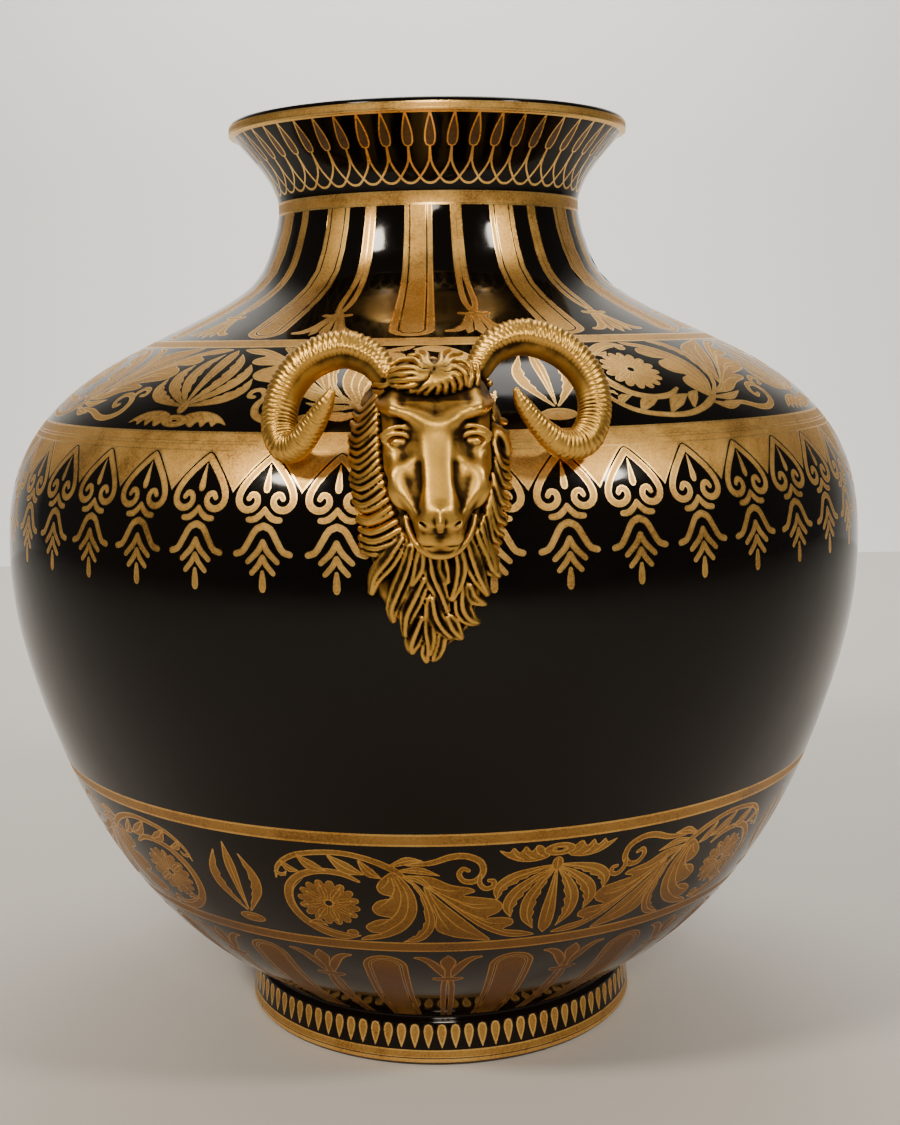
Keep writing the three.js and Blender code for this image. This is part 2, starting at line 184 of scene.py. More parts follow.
def mirror(shape):
    return np.asarray(shape, float) * (-1, 1)


class Drawing:
    """Shapes in the order in which they are painted, each an outline and its paint."""

    def __init__(self):
        self.shapes = []

    def paint(self, outline, colour):
        self.shapes.append((np.asarray(outline, float), colour))

    def ribbons(self, strokes, edge=EDGE, pace=1.6, colour=FILL, **teeth):
        """Matte strokes with a bright line round them. Those that touch run into each other."""
        for points, half in strokes:
            self.paint(stroke(points, half, 0.0, pace, **teeth), LINE)
        for points, half in strokes:
            self.paint(stroke(points, half, edge, pace, **teeth), colour)

    def pair(self, points, half, edge=EDGE, pace=1.6, teeth=0, tooth_side=1):
        """A ribbon and its mirror image, which run into each other."""
        twin = mirror(points)
        for inset, colour in ((0.0, LINE), (edge, FILL)):
            self.paint(stroke(points, half, inset, pace, teeth, tooth_side), colour)
            self.paint(stroke(twin, half, inset, pace, teeth, -tooth_side), colour)

    def leaf(self, points, half, teeth=0, tooth_side=1, vein=True, pace=1.6):
        self.ribbons([(points, half)], pace=pace, teeth=teeth, tooth_side=tooth_side)
        if vein:
            self.paint(stroke(points, np.minimum(half, THIN), 0.0, pace * 1.6), LINE)

    def body(self, points, edge=EDGE, pace=1.6):
        self.paint(blob(points, 0.0, pace), LINE)
        self.paint(blob(points, edge, pace), FILL)

    def lines(self, paths, half=THIN, pace=2.2):
        for points in paths:
            count = len(points)
            self.paint(stroke(points, [half] * (count - 1) + [0.08], 0.0, pace), LINE)

    def mirrored(self):
        other = Drawing()
        other.shapes = [(mirror(outline), colour) for outline, colour in self.shapes]
        return other

    def moved(self, change):
        other = Drawing()
        other.shapes = [(change(outline), colour) for outline, colour in self.shapes]
        return other

    def add(self, other):
        self.shapes += other.shapes


# The band of hearts and drops that hangs from the shoulder

HEARTS = 44
HEARTS_MIDDLE = -2.0
HEARTS_LOW, HEARTS_HIGH = 235.5, 289.8
WIDEST = 190.0


def hearts():
    half = math.pi * WIDEST / HEARTS
    d = Drawing()
    box = [(-half - 1, 271.5), (half + 1, 271.5), (half + 1, HEARTS_HIGH + 1), (-half - 1, HEARTS_HIGH + 1)]
    d.paint(box, FILL)
    d.paint([(-half - 1, 288.3), (half + 1, 288.3), (half + 1, 288.9), (-half - 1, 288.9)], LINE)
    side = np.array([(half, 273.4), (11.6, 276.4), (8.6, 280.5), (4.6, 285.4), (1.8, 288.3), (0, 289.2)])
    for inset, colour in ((0.0, LINE), (0.85, BLACK)):
        edge = side.copy()
        edge[:, 1] -= inset * 1.25
        edge = smooth_curve(edge, 9)
        foot = [(half, 271.0), (-half, 271.0)]
        d.paint(np.vstack([foot, edge[:-1] * (-1, 1), edge[::-1]]), colour)
    d.pair([(0, 286.2), (4.2, 281.7), (8.2, 276.6), (10.5, 271.8), (10.2, 268.3), (7.8, 266.3), (4.9, 266.6),
            (3.1, 268.7), (3.6, 271.2), (5.6, 271.8), (6.7, 270.3)],
           [1.35, 1.35, 1.35, 1.35, 1.35, 1.3, 1.25, 1.2, 1.15, 1.1, 1.0], pace=1.35)
    d.ribbons([([(0, 283.2), (0, 278), (0, 274.6), (0, 273.6)], [0.15, 1.0, 1.4, 1.2])], edge=0.5)
    d.pair([(0, 266.6), (1.4, 264.6), (3.7, 262.9), (6.1, 262.7)], [0.9, 1.15, 1.2, 1.05], pace=1.4)
    d.pair([(0, 260.6), (2.9, 259.2), (5.3, 255.2), (7.6, 251.6), (10.3, 250.6)],
           [1.25, 1.25, 1.2, 1.2, 1.15])
    d.pair([(0, 255.0), (1.8, 251.6), (5.6, 247.9)], [1.05, 1.15, 1.0])
    d.pair([(0, 249.6), (1.5, 246.8), (4.1, 243.9)], [1.0, 1.05, 0.95])
    d.ribbons([([(0, 244.3), (0, 241.5), (0, 238.6), (0, 238.1)], [0.75, 1.25, 1.35, 1.15])])
    return d, half


# The neck: long tongues and lilies by turns

TONGUES = 12
NECK_MIDDLE = -12.0
NECK_RADIUS = 80.0
NECK_SWING = 8.5
NECK_LOW, NECK_HIGH = 356.2, 438.9


def tongue(d, x, half_end, half_start, end, start, way):
    """Nested outlines of a tongue with one round end. way is 1 where the round end is above."""
    layers = ((0.0, LINE), (0.5, FILL), (1.95, LINE), (2.35, BLACK), (2.9, LINE), (3.3, FILL))
    for inset, colour in layers:
        wide = half_end - inset
        centre = end - way * half_end
        turn = np.radians(np.linspace(0, 180, 13))
        arc = np.stack([x + wide * np.cos(turn), centre + way * wide * np.sin(turn)], 1)
        foot = half_start - inset
        levels = np.linspace(0, 1, 9)[1:]
        left = [(x - wide + (wide - foot) * t, centre + (start - centre) * t) for t in levels]
        right = [(x + wide + (foot - wide) * t, centre + (start - centre) * t) for t in levels[::-1]]
        d.paint(np.vstack([arc, left, right]), colour)


def neck():
    per_degree = math.radians(1) * NECK_RADIUS
    half = math.pi * NECK_RADIUS / TONGUES
    d = Drawing()
    tongue(d, NECK_SWING * per_degree, 6.15, 6.7, 357.4, NECK_HIGH + 1, -1)
    lily = Drawing()
    lily.pair([(1.3, 441), (1.3, 420), (1.35, 405), (1.75, 396), (1.7, 388), (0.7, 380.5)],
              [1.5, 1.5, 1.45, 1.15, 1.1, 1.0], pace=4)
    lily.paint(stroke([(0, 405.5), (0, 398), (0, 388), (0, 383)], [0.15, 0.62, 0.62, 0.15], 0.0, 4), BLACK)
    lily.pair([(0.8, 378), (2.1, 372), (3.6, 366.5), (6.4, 362.2), (8.6, 361.6)], [1.1, 1.55, 1.6, 1.4, 1.0])
    lily.pair([(0.5, 379), (1.2, 370), (2.6, 363), (3.5, 359.6)], [0.9, 1.2, 1.3, 0.3])
    lily.ribbons([([(0, 380.5), (0, 372), (0, 363.5), (0, 358.4)], [1.4, 1.1, 1.5, 0.2])])
    lily.pair([(0, 377), (2.4, 376.7), (4.1, 377.3)], [1.4, 1.25, 1.1])
    lily.paint(stroke([(1.9, 361.5), (1.5, 366), (0.9, 371)], [0.1, 0.3, 0.1]), BLACK)
    lily.paint(stroke([(-1.9, 361.5), (-1.5, 366), (-0.9, 371)], [0.1, 0.3, 0.1]), BLACK)
    d.add(lily.moved(lambda outline: outline - (NECK_SWING * per_degree, 0)))
    return d, half


# The flare under the rim: drops on a chain of crossing arcs

RIM_DROPS = 54
RIM_MIDDLE = 0.8
RIM_LOW, RIM_HIGH = 446.9, 479.4
RIM_RADIUS = 78.0


def rim_drops():
    half = math.pi * RIM_RADIUS / RIM_DROPS
    d = Drawing()
    step = half * 2
    d.paint(stroke([(0, 458.4), (half * 0.36, 454.2), (half, 450.2), (half * 1.5, 448.2), (step, 447.7),
                    (half * 2.5, 448.2), (half * 3, 450.2), (step * 2 - half * 0.36, 454.2),
                    (step * 2, 458.4)], 0.46, 0.0, 1.5), LINE)
    d.paint(stroke([(0, 463.5), (0, 460), (0, 457.6)], [0.5, 0.62, 0.95], 0.0, 3), LINE)
    drop = [(0, 479.8), (0, 476), (0, 472), (0, 468.3), (0, 465.6)]
    wide = [0.35, 1.15, 1.95, 2.35, 2.2]
    d.paint(stroke(drop, wide, 0.0, 1.8), LINE)
    d.paint(stroke(drop, wide, 0.62, 1.8), UMBER)
    return d, half


# The lower body: short tongues and lilies by turns

LOW_TONGUES = 17
LOW_MIDDLE = -4.05
LOW_RADIUS = 130.0
LOW_SWING = 5.25
LOW_LOW, LOW_HIGH = 1.0, 76.0


def low_tongues():
    per_degree = math.radians(1) * LOW_RADIUS
    half = math.pi * LOW_RADIUS / LOW_TONGUES
    place = LOW_SWING * per_degree
    d = Drawing()
    tongue(d, -place, 8.6, 8.85, 73.6, -1.0, 1)
    lily = Drawing()
    lily.pair([(1.85, -1), (1.9, 20), (1.8, 40), (1.5, 50), (0.5, 55)], [1.5, 1.45, 1.4, 1.3, 0.9], pace=5)
    lily.pair([(1.0, 57), (3.2, 62.5), (6.2, 68.5), (9.2, 71.6), (11.9, 72.4)], [1.3, 2.0, 1.8, 1.4, 0.7])
    lily.ribbons([([(0, 56), (0, 62), (0, 68.6), (0, 71.8), (0, 74.2)], [1.6, 1.4, 3.1, 1.9, 0.2])])
    lily.pair([(0, 54.6), (3.0, 54.2), (5.0, 54.8)], [1.9, 1.6, 1.3])
    d.add(lily.moved(lambda outline: outline + (place, 0)))
    return d, half


# The foot: a row of drops

FOOT_DROPS = 96
FOOT_MIDDLE = 0.0
FOOT_RADIUS = 90.0
FOOT_LOW, FOOT_HIGH = -14.6, -3.1


def foot_drops():
    half = math.pi * FOOT_RADIUS / FOOT_DROPS
    d = Drawing()
    d.ribbons([([(0, -14.0), (0, -11), (0, -7.5), (0, -5.3)], [0.14, 1.2, 2.05, 1.85])], edge=0.7, pace=1.8)
    return d, half


# Scrolls of the two friezes. x is measured from the palmette, towards the bud

SCROLL_REACH = 133.4
SCROLL_TOP, SCROLL_BOTTOM = 349.0, 297.0


def bud():
    d = Drawing()
    d.body(oval(0, 303.4, 6.4, 2.9, 10), pace=2.4)
    d.lines([[(-3.2, 303.6), (0, 304.4), (3.2, 303.6)]])
    d.pair([(0.9, 307.6), (4.6, 313.5), (8.4, 321), (8.9, 329), (5.6, 339.4)], [0.5, 1.5, 2.5, 2.3, 0.3],
           teeth=6, tooth_side=1, pace=1.5)
    d.ribbons([([(0, 308.6), (0, 320), (0, 333), (0, 344.4)], [0.4, 1.5, 2.3, 0.2])], pace=2.2)
    d.lines([[(0, 312), (0, 326), (0, 339)]])
    return d


def palmette():
    d = Drawing()
    half_spray = [(3.4, 304.2), (8, 306.2), (14, 305.9), (19, 303.4), (22.2, 299.7), (18.6, 300.9),
                  (17, 298.9), (14.6, 301.4), (12.7, 298.5), (10.4, 301.2), (8.4, 298.4), (5.6, 300.2)]
    barbs = [[(5.4, 304.4), (8.2, 302.6), (9.0, 300.0)], [(9, 305.2), (12.2, 302.8), (13.0, 300.2)],
             [(13, 305), (16.2, 302.8), (17.2, 300.6)]]
    for flip in (1, -1):
        d.body(np.asarray(half_spray) * (flip, 1), pace=1.5)
        d.lines([np.asarray(b) * (flip, 1) for b in barbs])
    leaves = (
        ([(2.4, 309.2), (9, 311.2), (16, 314.2), (20.8, 319), (21.6, 325.4)], [0.6, 1.9, 2.9, 2.5, 0.2], 6),
        ([(1.9, 310.4), (8, 315.4), (14.0, 322), (16.4, 329), (15.2, 335.4)], [0.6, 2.0, 3.1, 2.7, 0.2], 6),
        ([(1.2, 311.4), (5.2, 318.4), (8.4, 327), (8.3, 336), (4.9, 343.6)], [0.6, 2.2, 3.2, 2.7, 0.2], 6),
    )
    for points, half, teeth in leaves:
        d.pair(points, half, teeth=teeth, tooth_side=1, pace=1.35)
        d.lines([points, mirror(points)])
    d.ribbons([([(0, 311), (0, 322), (0, 334), (0, 342.6), (0, 346.2)], [0.5, 1.7, 3.0, 2.7, 0.6])])
    d.lines([[(0, 314), (0, 328), (0, 341)]])
    d.body(oval(0, 308.4, 2.2, 3.4, 10), pace=1.5)
    d.lines([[(0, 306.2), (0, 308), (0, 310.6)]])
    d.body(oval(0, 301.4, 6.0, 3.1, 12), pace=1.8)
    d.paint(oval(0, 301.4, 3.2, 1.5, 12), LINE)
    d.paint(oval(0, 301.4, 2.6, 1.0, 10), FILL)
    d.paint(oval(0, 301.4, 1.3, 0.55, 8), BLACK)
    return d


def rosette(x, y, radius):
    d = Drawing()
    at = np.array([x, y])
    turn = np.linspace(0, 2 * math.pi, 96, endpoint=False)
    for inset, colour in ((0.0, LINE), (EDGE, FILL)):
        reach = radius - inset - 2.6 * (1 - np.abs(np.sin(8 * turn))) ** 1.4
        d.paint(np.stack([x + reach * np.cos(turn), y + reach * np.sin(turn)], 1), colour)
    for k in range(8):
        a = math.pi * (2 * k + 0.5) / 8
        way = np.array([math.cos(a), math.sin(a)])
        d.ribbons([([at + way * 2.4, at + way * 4.6, at + way * 7.4, at + way * 10.2], [0.5, 1.5, 1.9, 0.2])],
                  edge=0.34, pace=1.9)
        d.lines([[at + way * 3.4, at + way * 6, at + way * 8.6]])
    for k in range(8):
        a = math.pi * (k + 1) / 4 + math.pi / 16
        way = np.array([math.cos(a), math.sin(a)])
        d.lines([[at + way * 8.6, at + way * 10.2, at + way * 11.8]])
    d.paint(oval(x, y, 2.2, 2.2, 12), LINE)
    d.paint(oval(x, y, 1.5, 1.5, 10), BLACK)
    return d


def scroll():
    """Acanthus scroll round a rosette, with a long leaf that sweeps back over to the palmette."""
    d = Drawing()
    # Long tail leaf with lobes on the side of the palmette
    d.body([(60, 311.6), (50, 321), (40, 331), (30, 340), (20, 345.8), (12, 348), (3.6, 347.4),
            (9.5, 344.2), (18.5, 342.2), (14.6, 339.6), (15.0, 336.6), (19.5, 334.9), (27, 334.6),
            (22, 331.8), (20.4, 328.2), (23.6, 324.6), (31, 322.8), (38, 321.6), (33.4, 319.8),
            (35.6, 317.6), (44, 315.6), (52, 311.6)])
    d.lines([[(58, 313.4), (44, 325.6), (29, 338), (17, 344.6), (8, 346.6)],
             [(50, 320), (38, 330), (26, 337.6), (18, 338.6)],
             [(52, 317.6), (42, 324), (33, 328.6), (24, 328.8)],
             [(54, 315.4), (46, 318.6), (38, 319.0)],
             [(42, 327.6), (32, 333.6), (24, 337.0)], [(46, 321.6), (36, 326.2), (28, 326.8)]])
    # Leaf on the other side of the trunk
    d.body([(50.4, 341), (43, 345.4), (33.4, 347.6), (24.4, 348.6), (32.1, 340.6), (40.1, 332.4), (48.4, 324),
            (55.4, 316.4), (53.2, 326), (50.6, 333)])
    d.lines([[(53, 320), (48, 330), (40, 339.6), (30, 346)], [(51.4, 326), (48.6, 334), (44.4, 341.4)]])
    d.leaf([(65.4, 309.8), (57.8, 318), (54.3, 328), (53.8, 337.6), (58.4, 345.2), (66.4, 348.7)],
           [0.7, 1.2, 1.9, 2.9, 2.7, 0.3], teeth=7, tooth_side=-1)
    # Acanthus with lobes towards the rosette
    d.body([(84.6, 348.6), (74.8, 346.8), (66.3, 342), (60.6, 335), (58.6, 327), (60.6, 318),
            (67, 309.6), (71, 311.4), (74.4, 316.6), (73, 320.6), (68.6, 322.4), (74.4, 324.4),
            (77.4, 328.8), (75.4, 332.6), (69.4, 334.2), (76.2, 335.4), (81.2, 339.4), (79.6, 343),
            (75.4, 343.8), (81, 345.2)])
    d.lines([[(66.4, 311.6), (62.6, 322), (64.4, 333), (72, 341.4), (81, 346.6)],
             [(67.6, 312.4), (65.4, 321), (67.6, 330.4), (73, 336.8), (79, 340)],
             [(68.6, 312), (67.8, 318), (70.4, 324), (75.4, 329)],
             [(69.4, 311.8), (70.2, 315), (72.6, 317.8)]])
    # Ring round the rosette, and lobes above it
    d.ribbons([([(84.6, 345.8), (92, 346.6), (100, 344), (107.4, 338), (110.8, 329.6), (109.4, 320.4),
                 (103.6, 313.6), (95.4, 310.4), (87, 311), (80.8, 314.6)],
                [0.5, 2.3, 2.6, 2.0, 1.8, 1.7, 1.6, 1.5, 1.4, 0.7])])
    d.lines([[(88, 346.8), (96, 344.8), (104, 339.6), (108.6, 331), (108, 322), (102.4, 315)]])
    d.leaf([(105.6, 340), (101, 338.8), (97.6, 341)], [0.4, 1.5, 0.3], vein=False)
    d.body(oval(87.4, 344.0, 2.6, 2.0, 8), pace=1.6)
    # Stem below, with leaves on its upper side
    d.ribbons([([(113.6, 316), (111.4, 309.6), (104.6, 303.8), (95, 301.2), (85, 300.9), (76, 303.4),
                 (68, 307.8), (62, 313)], [0.4, 1.0, 1.2, 1.25, 1.3, 1.4, 1.5, 0.7])])
    for base, tip, wide in (((109.6, 307.4), (103.6, 311.4), 1.8), ((102.6, 303.6), (92.6, 310.0), 2.6),
                            ((90.6, 302.6), (78.4, 311.0), 2.8), ((79.6, 304.4), (72.2, 312.6), 2.2)):
        base, tip = np.array(base), np.array(tip)
        middle = (base + tip) / 2 + np.array([0.6, 1.2])
        d.leaf([base, middle, tip], [0.7, wide, 0.3], pace=1.4)
    d.leaf([(113.2, 313), (110.4, 314.4), (108.6, 312.2)], [0.7, 1.0, 0.3], vein=False)
    # Leaves at the joint, and the curls that end near the foot of the palmette
    d.leaf([(68, 306), (62, 303.6), (55.4, 303.6)], [0.8, 1.9, 0.2])
    d.leaf([(65, 308.6), (57, 308.4), (48.4, 311.0)], [0.7, 1.8, 0.2])
    d.leaf([(63.6, 311.2), (57.4, 313), (51, 318.4)], [0.6, 1.6, 0.2])
    d.ribbons([([(62, 305.6), (52, 304.6), (44, 301.9), (37.4, 301.7), (31.6, 304.8), (30.4, 310.2),
                 (33.6, 314.2), (38.2, 314.0), (40.4, 310.6), (38.8, 307.8), (36.4, 308.8)],
                [0.6, 1.3, 1.5, 1.5, 1.5, 1.45, 1.4, 1.3, 1.2, 1.1, 0.9])], pace=1.3)
    d.ribbons([([(31.4, 311.4), (31.6, 315.4), (29.0, 318.4), (25.8, 317.6), (25.4, 314.8), (27.6, 314.2)],
                [0.9, 1.2, 1.25, 1.2, 1.1, 0.9])], pace=1.2)
    d.add(rosette(94.4, 327.4, 12.6))
    return d


def scroll_unit(reach):
    """Palmette between two scrolls, for a frieze whose buds stand at reach from the palmette."""
    spare = SCROLL_REACH - reach
    near, far = 10.0, 66.0

    def squeeze(outline):
        moved = outline.copy()
        x = outline[:, 0]
        moved[:, 0] = np.where(x < near, x, np.where(x > far, x - spare,
                               near + (x - near) * (far - near - spare) / (far - near)))
        return moved

    side = scroll().moved(squeeze)
    d = Drawing()
    d.add(side)
    d.add(side.mirrored())
    d.add(palmette())
    return d


# The wall of the vase: one closed mesh, on which the painted bands lie flush

FOOT_PROFILE = ((0.0, 89.5), (1.5, 91.0), (19.0, 89.6), (20.0, 88.6), (21.6, 87.6), (22.0, 88.2))
NECK_END = OUTLINE[-1][0]
NECK_START = OUTLINE[0][0]
WALL = 5.6
TURN = 2 * math.pi

heights = np.linspace(NECK_START, NECK_END, 4000)
run_up = np.concatenate([[0], np.cumsum(np.hypot(np.diff(heights), np.diff(outer_radius(heights))))])


def wall_point(s):
    """Radius and height at a distance s up the wall from the top of the foot, below it if s < 0."""
    s = np.asarray(s, float)
    z = np.where(s < 0, NECK_START + s, np.interp(s, run_up, heights))
    foot = np.interp(z, [p[0] for p in FOOT_PROFILE], [p[1] for p in FOOT_PROFILE])
    return np.where(s < 0, foot, outer_radius(np.maximum(z, NECK_START))), z


def wall_normal(s):
    s = np.asarray(s, float)
    low_r, low_z = wall_point(np.maximum(s - 0.4, -NECK_START))
    high_r, high_z = wall_point(np.minimum(s + 0.4, run_up[-1]))
    length = np.hypot(high_r - low_r, high_z - low_z)
    return (high_z - low_z) / length, -(high_r - low_r) / length


def within(points, outline):
    """Which points lie inside an outline, also where it winds round them twice."""
    x, y = points[:, 0], points[:, 1]
    winding = np.zeros(len(points), int)
    for (x0, y0), (x1, y1) in zip(outline, np.roll(outline, -1, 0)):
        if y0 == y1:
            continue
        crossed = ((y0 > y) != (y1 > y)) & (x < (x1 - x0) * (y - y0) / (y1 - y0) + x0)
        winding += crossed * (1 if y1 > y0 else -1)
    return winding != 0


WELD = 2e-3
PAINT_REACH = 0.2
GRID_CLEAR = 1.7


def flat_triangles(points, edges):
    """Triangles over the points that keep to the edges, all the same way round."""
    result = delaunay_2d_cdt([Vector(p) for p in points], edges, [], 0, WELD)
    place = np.array([tuple(v) for v in result[0]])
    faces = np.array(result[2])
    corner = place[faces]
    area = np.cross(corner[:, 1] - corner[:, 0], corner[:, 2] - corner[:, 0])
    return place, np.where(area[:, None] >= 0, faces, faces[:, ::-1])


def thinned(place, links, fixed, slack, longest):
    """Drops the points of the painted outlines that hardly bend them."""
    again = True
    while again:
        again = False
        touched = set()
        for v in list(links):
            if len(links[v]) != 2 or v in fixed or v in touched:
                continue
            a, b = links[v]
            span = place[b] - place[a]
            length = math.hypot(*span)
            if a in touched or b in touched or length > longest or length == 0 or b in links[a]:
                continue
            off = place[v] - place[a]
            if abs(span[0] * off[1] - span[1] * off[0]) / length < slack:
                links[a].remove(v)
                links[b].remove(v)
                links[a].add(b)
                links[b].add(a)
                del links[v]
                touched.update((a, b))
                again = True


class Tile:
    """Flat mesh of one repeat: its vertices, its triangles and the paint of each triangle."""

    SLACK = 0.05
    LONGEST = 6.0

    def __init__(self, drawing, x_low, x_high, low, high, column, row, period=0.0, reach=2):
        self.x_low, self.x_high, self.low, self.high = x_low, x_high, low, high
        xs = np.linspace(x_low, x_high, max(int(round((x_high - x_low) / column)), 1) + 1)
        ys = np.linspace(low, high, max(int(round((high - low) / row)), 1) + 1)
        self.shapes = []
        for outline, colour in drawing.shapes:
            for shift in range(-reach, reach + 1) if period else (0,):
                ring = outline + (shift * period, 0)
                if ring[:, 0].max() > x_low - PAINT_REACH and ring[:, 0].min() < x_high + PAINT_REACH:
                    self.shapes.append((ring, colour))
        place, links = self.outlines()
        for x in xs:
            for y in (low, high):
                place.append((x, y))
        for y in ys[1:-1]:
            for x in (x_low, x_high):
                place.append((x, y))
        edges = {tuple(sorted((v, other))) for v in links for other in links[v]}
        place = np.array(place)
        for axis, value in ((0, x_low), (0, x_high), (1, low), (1, high)):
            side = [v for v in range(len(place)) if abs(place[v, axis] - value) < WELD
                    and (v in links or v >= self.drawn)]
            side.sort(key=lambda v: place[v, 1 - axis])
            edges |= set(zip(side[:-1], side[1:]))
        used = sorted({v for edge in edges for v in edge})
        number = {v: i for i, v in enumerate(used)}
        points = place[used]
        edges = [(number[a], number[b]) for a, b in edges]
        grid = [(x, y) for y in ys[1:-1] for x in xs[1:-1]
                if np.hypot(*(points - (x, y)).T).min() > GRID_CLEAR]
        self.place, self.faces = flat_triangles(points.tolist() + grid, edges)
        self.paint = self.painted()
        x, y = self.place.T
        self.left = self.along(np.abs(x - x_low) < WELD, y)
        self.right = self.along(np.abs(x - x_high) < WELD, y)
        self.bottom = self.along(np.abs(y - low) < WELD, x)
        self.top = self.along(np.abs(y - high) < WELD, x)

    def painted(self):
        """Paint of each triangle: that of the last shape that covers its middle."""
        middle = self.place[self.faces].mean(1)
        paint = np.full(len(self.faces), BLACK)
        for ring, colour in self.shapes:
            near = (middle >= ring.min(0)).all(1) & (middle <= ring.max(0)).all(1)
            where = np.nonzero(near)[0]
            paint[where[within(middle[where], ring)]] = colour
        return paint

    def outlines(self):
        """Points and links of the lines where one paint meets another, within the tile."""
        points, edges = [], []
        for ring, _ in self.shapes:
            first = len(points)
            points += ring.tolist()
            edges += [(first + i, first + (i + 1) % len(ring)) for i in range(len(ring))]
        first = len(points)
        points += [(self.x_low, self.low), (self.x_high, self.low), (self.x_high, self.high),
                   (self.x_low, self.high)]
        edges += [(first + i, first + (i + 1) % 4) for i in range(4)]
        self.place, self.faces = flat_triangles(points, edges)
        middle = self.place[self.faces].mean(1)
        kept = (middle[:, 0] > self.x_low) & (middle[:, 0] < self.x_high)
        kept &= (middle[:, 1] > self.low) & (middle[:, 1] < self.high)
        self.faces = self.faces[kept]
        paint = self.painted()
        sides = {}
        for face, colour in zip(self.faces.tolist(), paint.tolist()):
            for i in range(3):
                a, b = face[i], face[(i + 1) % 3]
                sides.setdefault((min(a, b), max(a, b)), []).append(colour)
        links = {}
        for (a, b), colours in sides.items():
            if len(colours) == 2 and colours[0] != colours[1]:
                links.setdefault(a, set()).add(b)
                links.setdefault(b, set()).add(a)
        x, y = self.place.T
        rim = (np.minimum(np.abs(x - self.x_low), np.abs(x - self.x_high)) < WELD)
        rim |= np.minimum(np.abs(y - self.low), np.abs(y - self.high)) < WELD
        thinned(self.place, links, set(np.nonzero(rim)[0].tolist()), self.SLACK, self.LONGEST)
        self.drawn = len(self.place)
        return [tuple(p) for p in self.place], links

    def along(self, chosen, order):
        index = np.nonzero(chosen)[0]
        return index[np.argsort(order[index])]


class Wall:
    """Vertices with their normals, and faces with their paint, from the foot up and over the rim."""

    def __init__(self):
        self.place, self.normal, self.faces, self.paint = [], [], [], []
        self.count = 0

    def add(self, angle, radius, height, normal):
        angle = np.asarray(angle, float)
        sine, cosine = np.sin(angle), -np.cos(angle)
        self.place.append(np.stack([radius * sine, radius * cosine, height + 0 * angle], 1))
        across, up = normal
        self.normal.append(np.stack([across * sine, across * cosine, up + 0 * angle], 1))
        self.count += len(angle)
        return np.arange(self.count - len(angle), self.count)

    def ring(self, radius, height, normal, columns):
        angle = np.arange(columns) / columns * TURN
        return list(zip(angle, self.add(angle, radius, height, normal)))

    def wall_ring(self, s, columns):
        return self.ring(*wall_point(s), wall_normal(s), columns)

    def join(self, lower, upper, colour):
        """Strip of triangles between two rings, each a list of angles and vertices."""
        n, m = len(lower), len(upper)
        i = j = 0
        while i < n or j < m:
            a, b = lower[i % n][1], upper[j % m][1]
            next_low = lower[(i + 1) % n][0] + TURN * ((i + 1) // n)
            next_up = upper[(j + 1) % m][0] + TURN * ((j + 1) // m)
            if j >= m or (i < n and next_low <= next_up):
                self.faces.append((a, lower[(i + 1) % n][1], b))
                i += 1
            else:
                self.faces.append((a, upper[(j + 1) % m][1], b))
                j += 1
            self.paint.append(colour)

    def band(self, tiles):
        """Tiles side by side all round, each with its first and last angle. Gives the two end rings."""
        numbers = []
        for tile, start, end in tiles:
            x, s = tile.place.T
            angle = start + (x - tile.x_low) / (tile.x_high - tile.x_low) * (end - start)
            radius, height = wall_point(s)
            own = np.ones(len(x), bool)
            own[tile.right] = False
            number = np.full(len(x), -1)
            sine, cosine = np.sin(angle[own]), -np.cos(angle[own])
            across, up = wall_normal(s[own])
            self.place.append(np.stack([radius[own] * sine, radius[own] * cosine, height[own]], 1))
            self.normal.append(np.stack([across * sine, across * cosine, up], 1))
            number[own] = self.count + np.arange(own.sum())
            self.count += own.sum()
            numbers.append(number)
        ends = ([], [])
        for k, (tile, start, end) in enumerate(tiles):
            after = (k + 1) % len(tiles)
            number = numbers[k]
            number[tile.right] = numbers[after][tiles[after][0].left]
            self.faces += [tuple(f) for f in number[tile.faces].tolist()]
            self.paint += tile.paint.tolist()
            for ring, row in zip(ends, (tile.bottom, tile.top)):
                x = tile.place[row[:-1], 0]
                angle = start + (x - tile.x_low) / (tile.x_high - tile.x_low) * (end - start)
                ring += list(zip(angle % TURN, number[row[:-1]]))
        return [sorted(ring) for ring in ends]

    def mesh(self, name, materials):
        place, normal = np.concatenate(self.place), np.concatenate(self.normal)
        thing = new_object(name, place, [[int(i) for i in f] for f in self.faces], materials)
        thing.data.polygons.foreach_set("material_index", [int(p) for p in self.paint])
        thing.data.normals_split_custom_set_from_vertices(normal.tolist())
        return thing


def repeated(drawing, half, repeats, middle, low, high, column, row, reach=2):
    """One repeat as a tile, set all round with a repeat's middle at the given angle in degrees."""
    tile = Tile(drawing, -half, half, low, high, column, row, half * 2, reach)
    step = TURN / repeats
    start = math.radians(middle) - step / 2
    return [(tile, start + k * step, start + (k + 1) * step) for k in range(repeats)]


# Angle of the first palmette, of the bud beside it, and half of each unit, in degrees.
# The two units at the back are narrower than the two at the front

SHOULDER_RADIUS = 152.0
SHOULDER_PALMETTE = -34.5
FRONT_HALF, BACK_HALF = 50.3, 39.7
BUD_HALF_ANGLE = 4.7
LOWER_RADIUS = 160.0
LOWER_PALMETTE = 15.5
LOWER_LOW, LOWER_HIGH = 83.6, 136.2


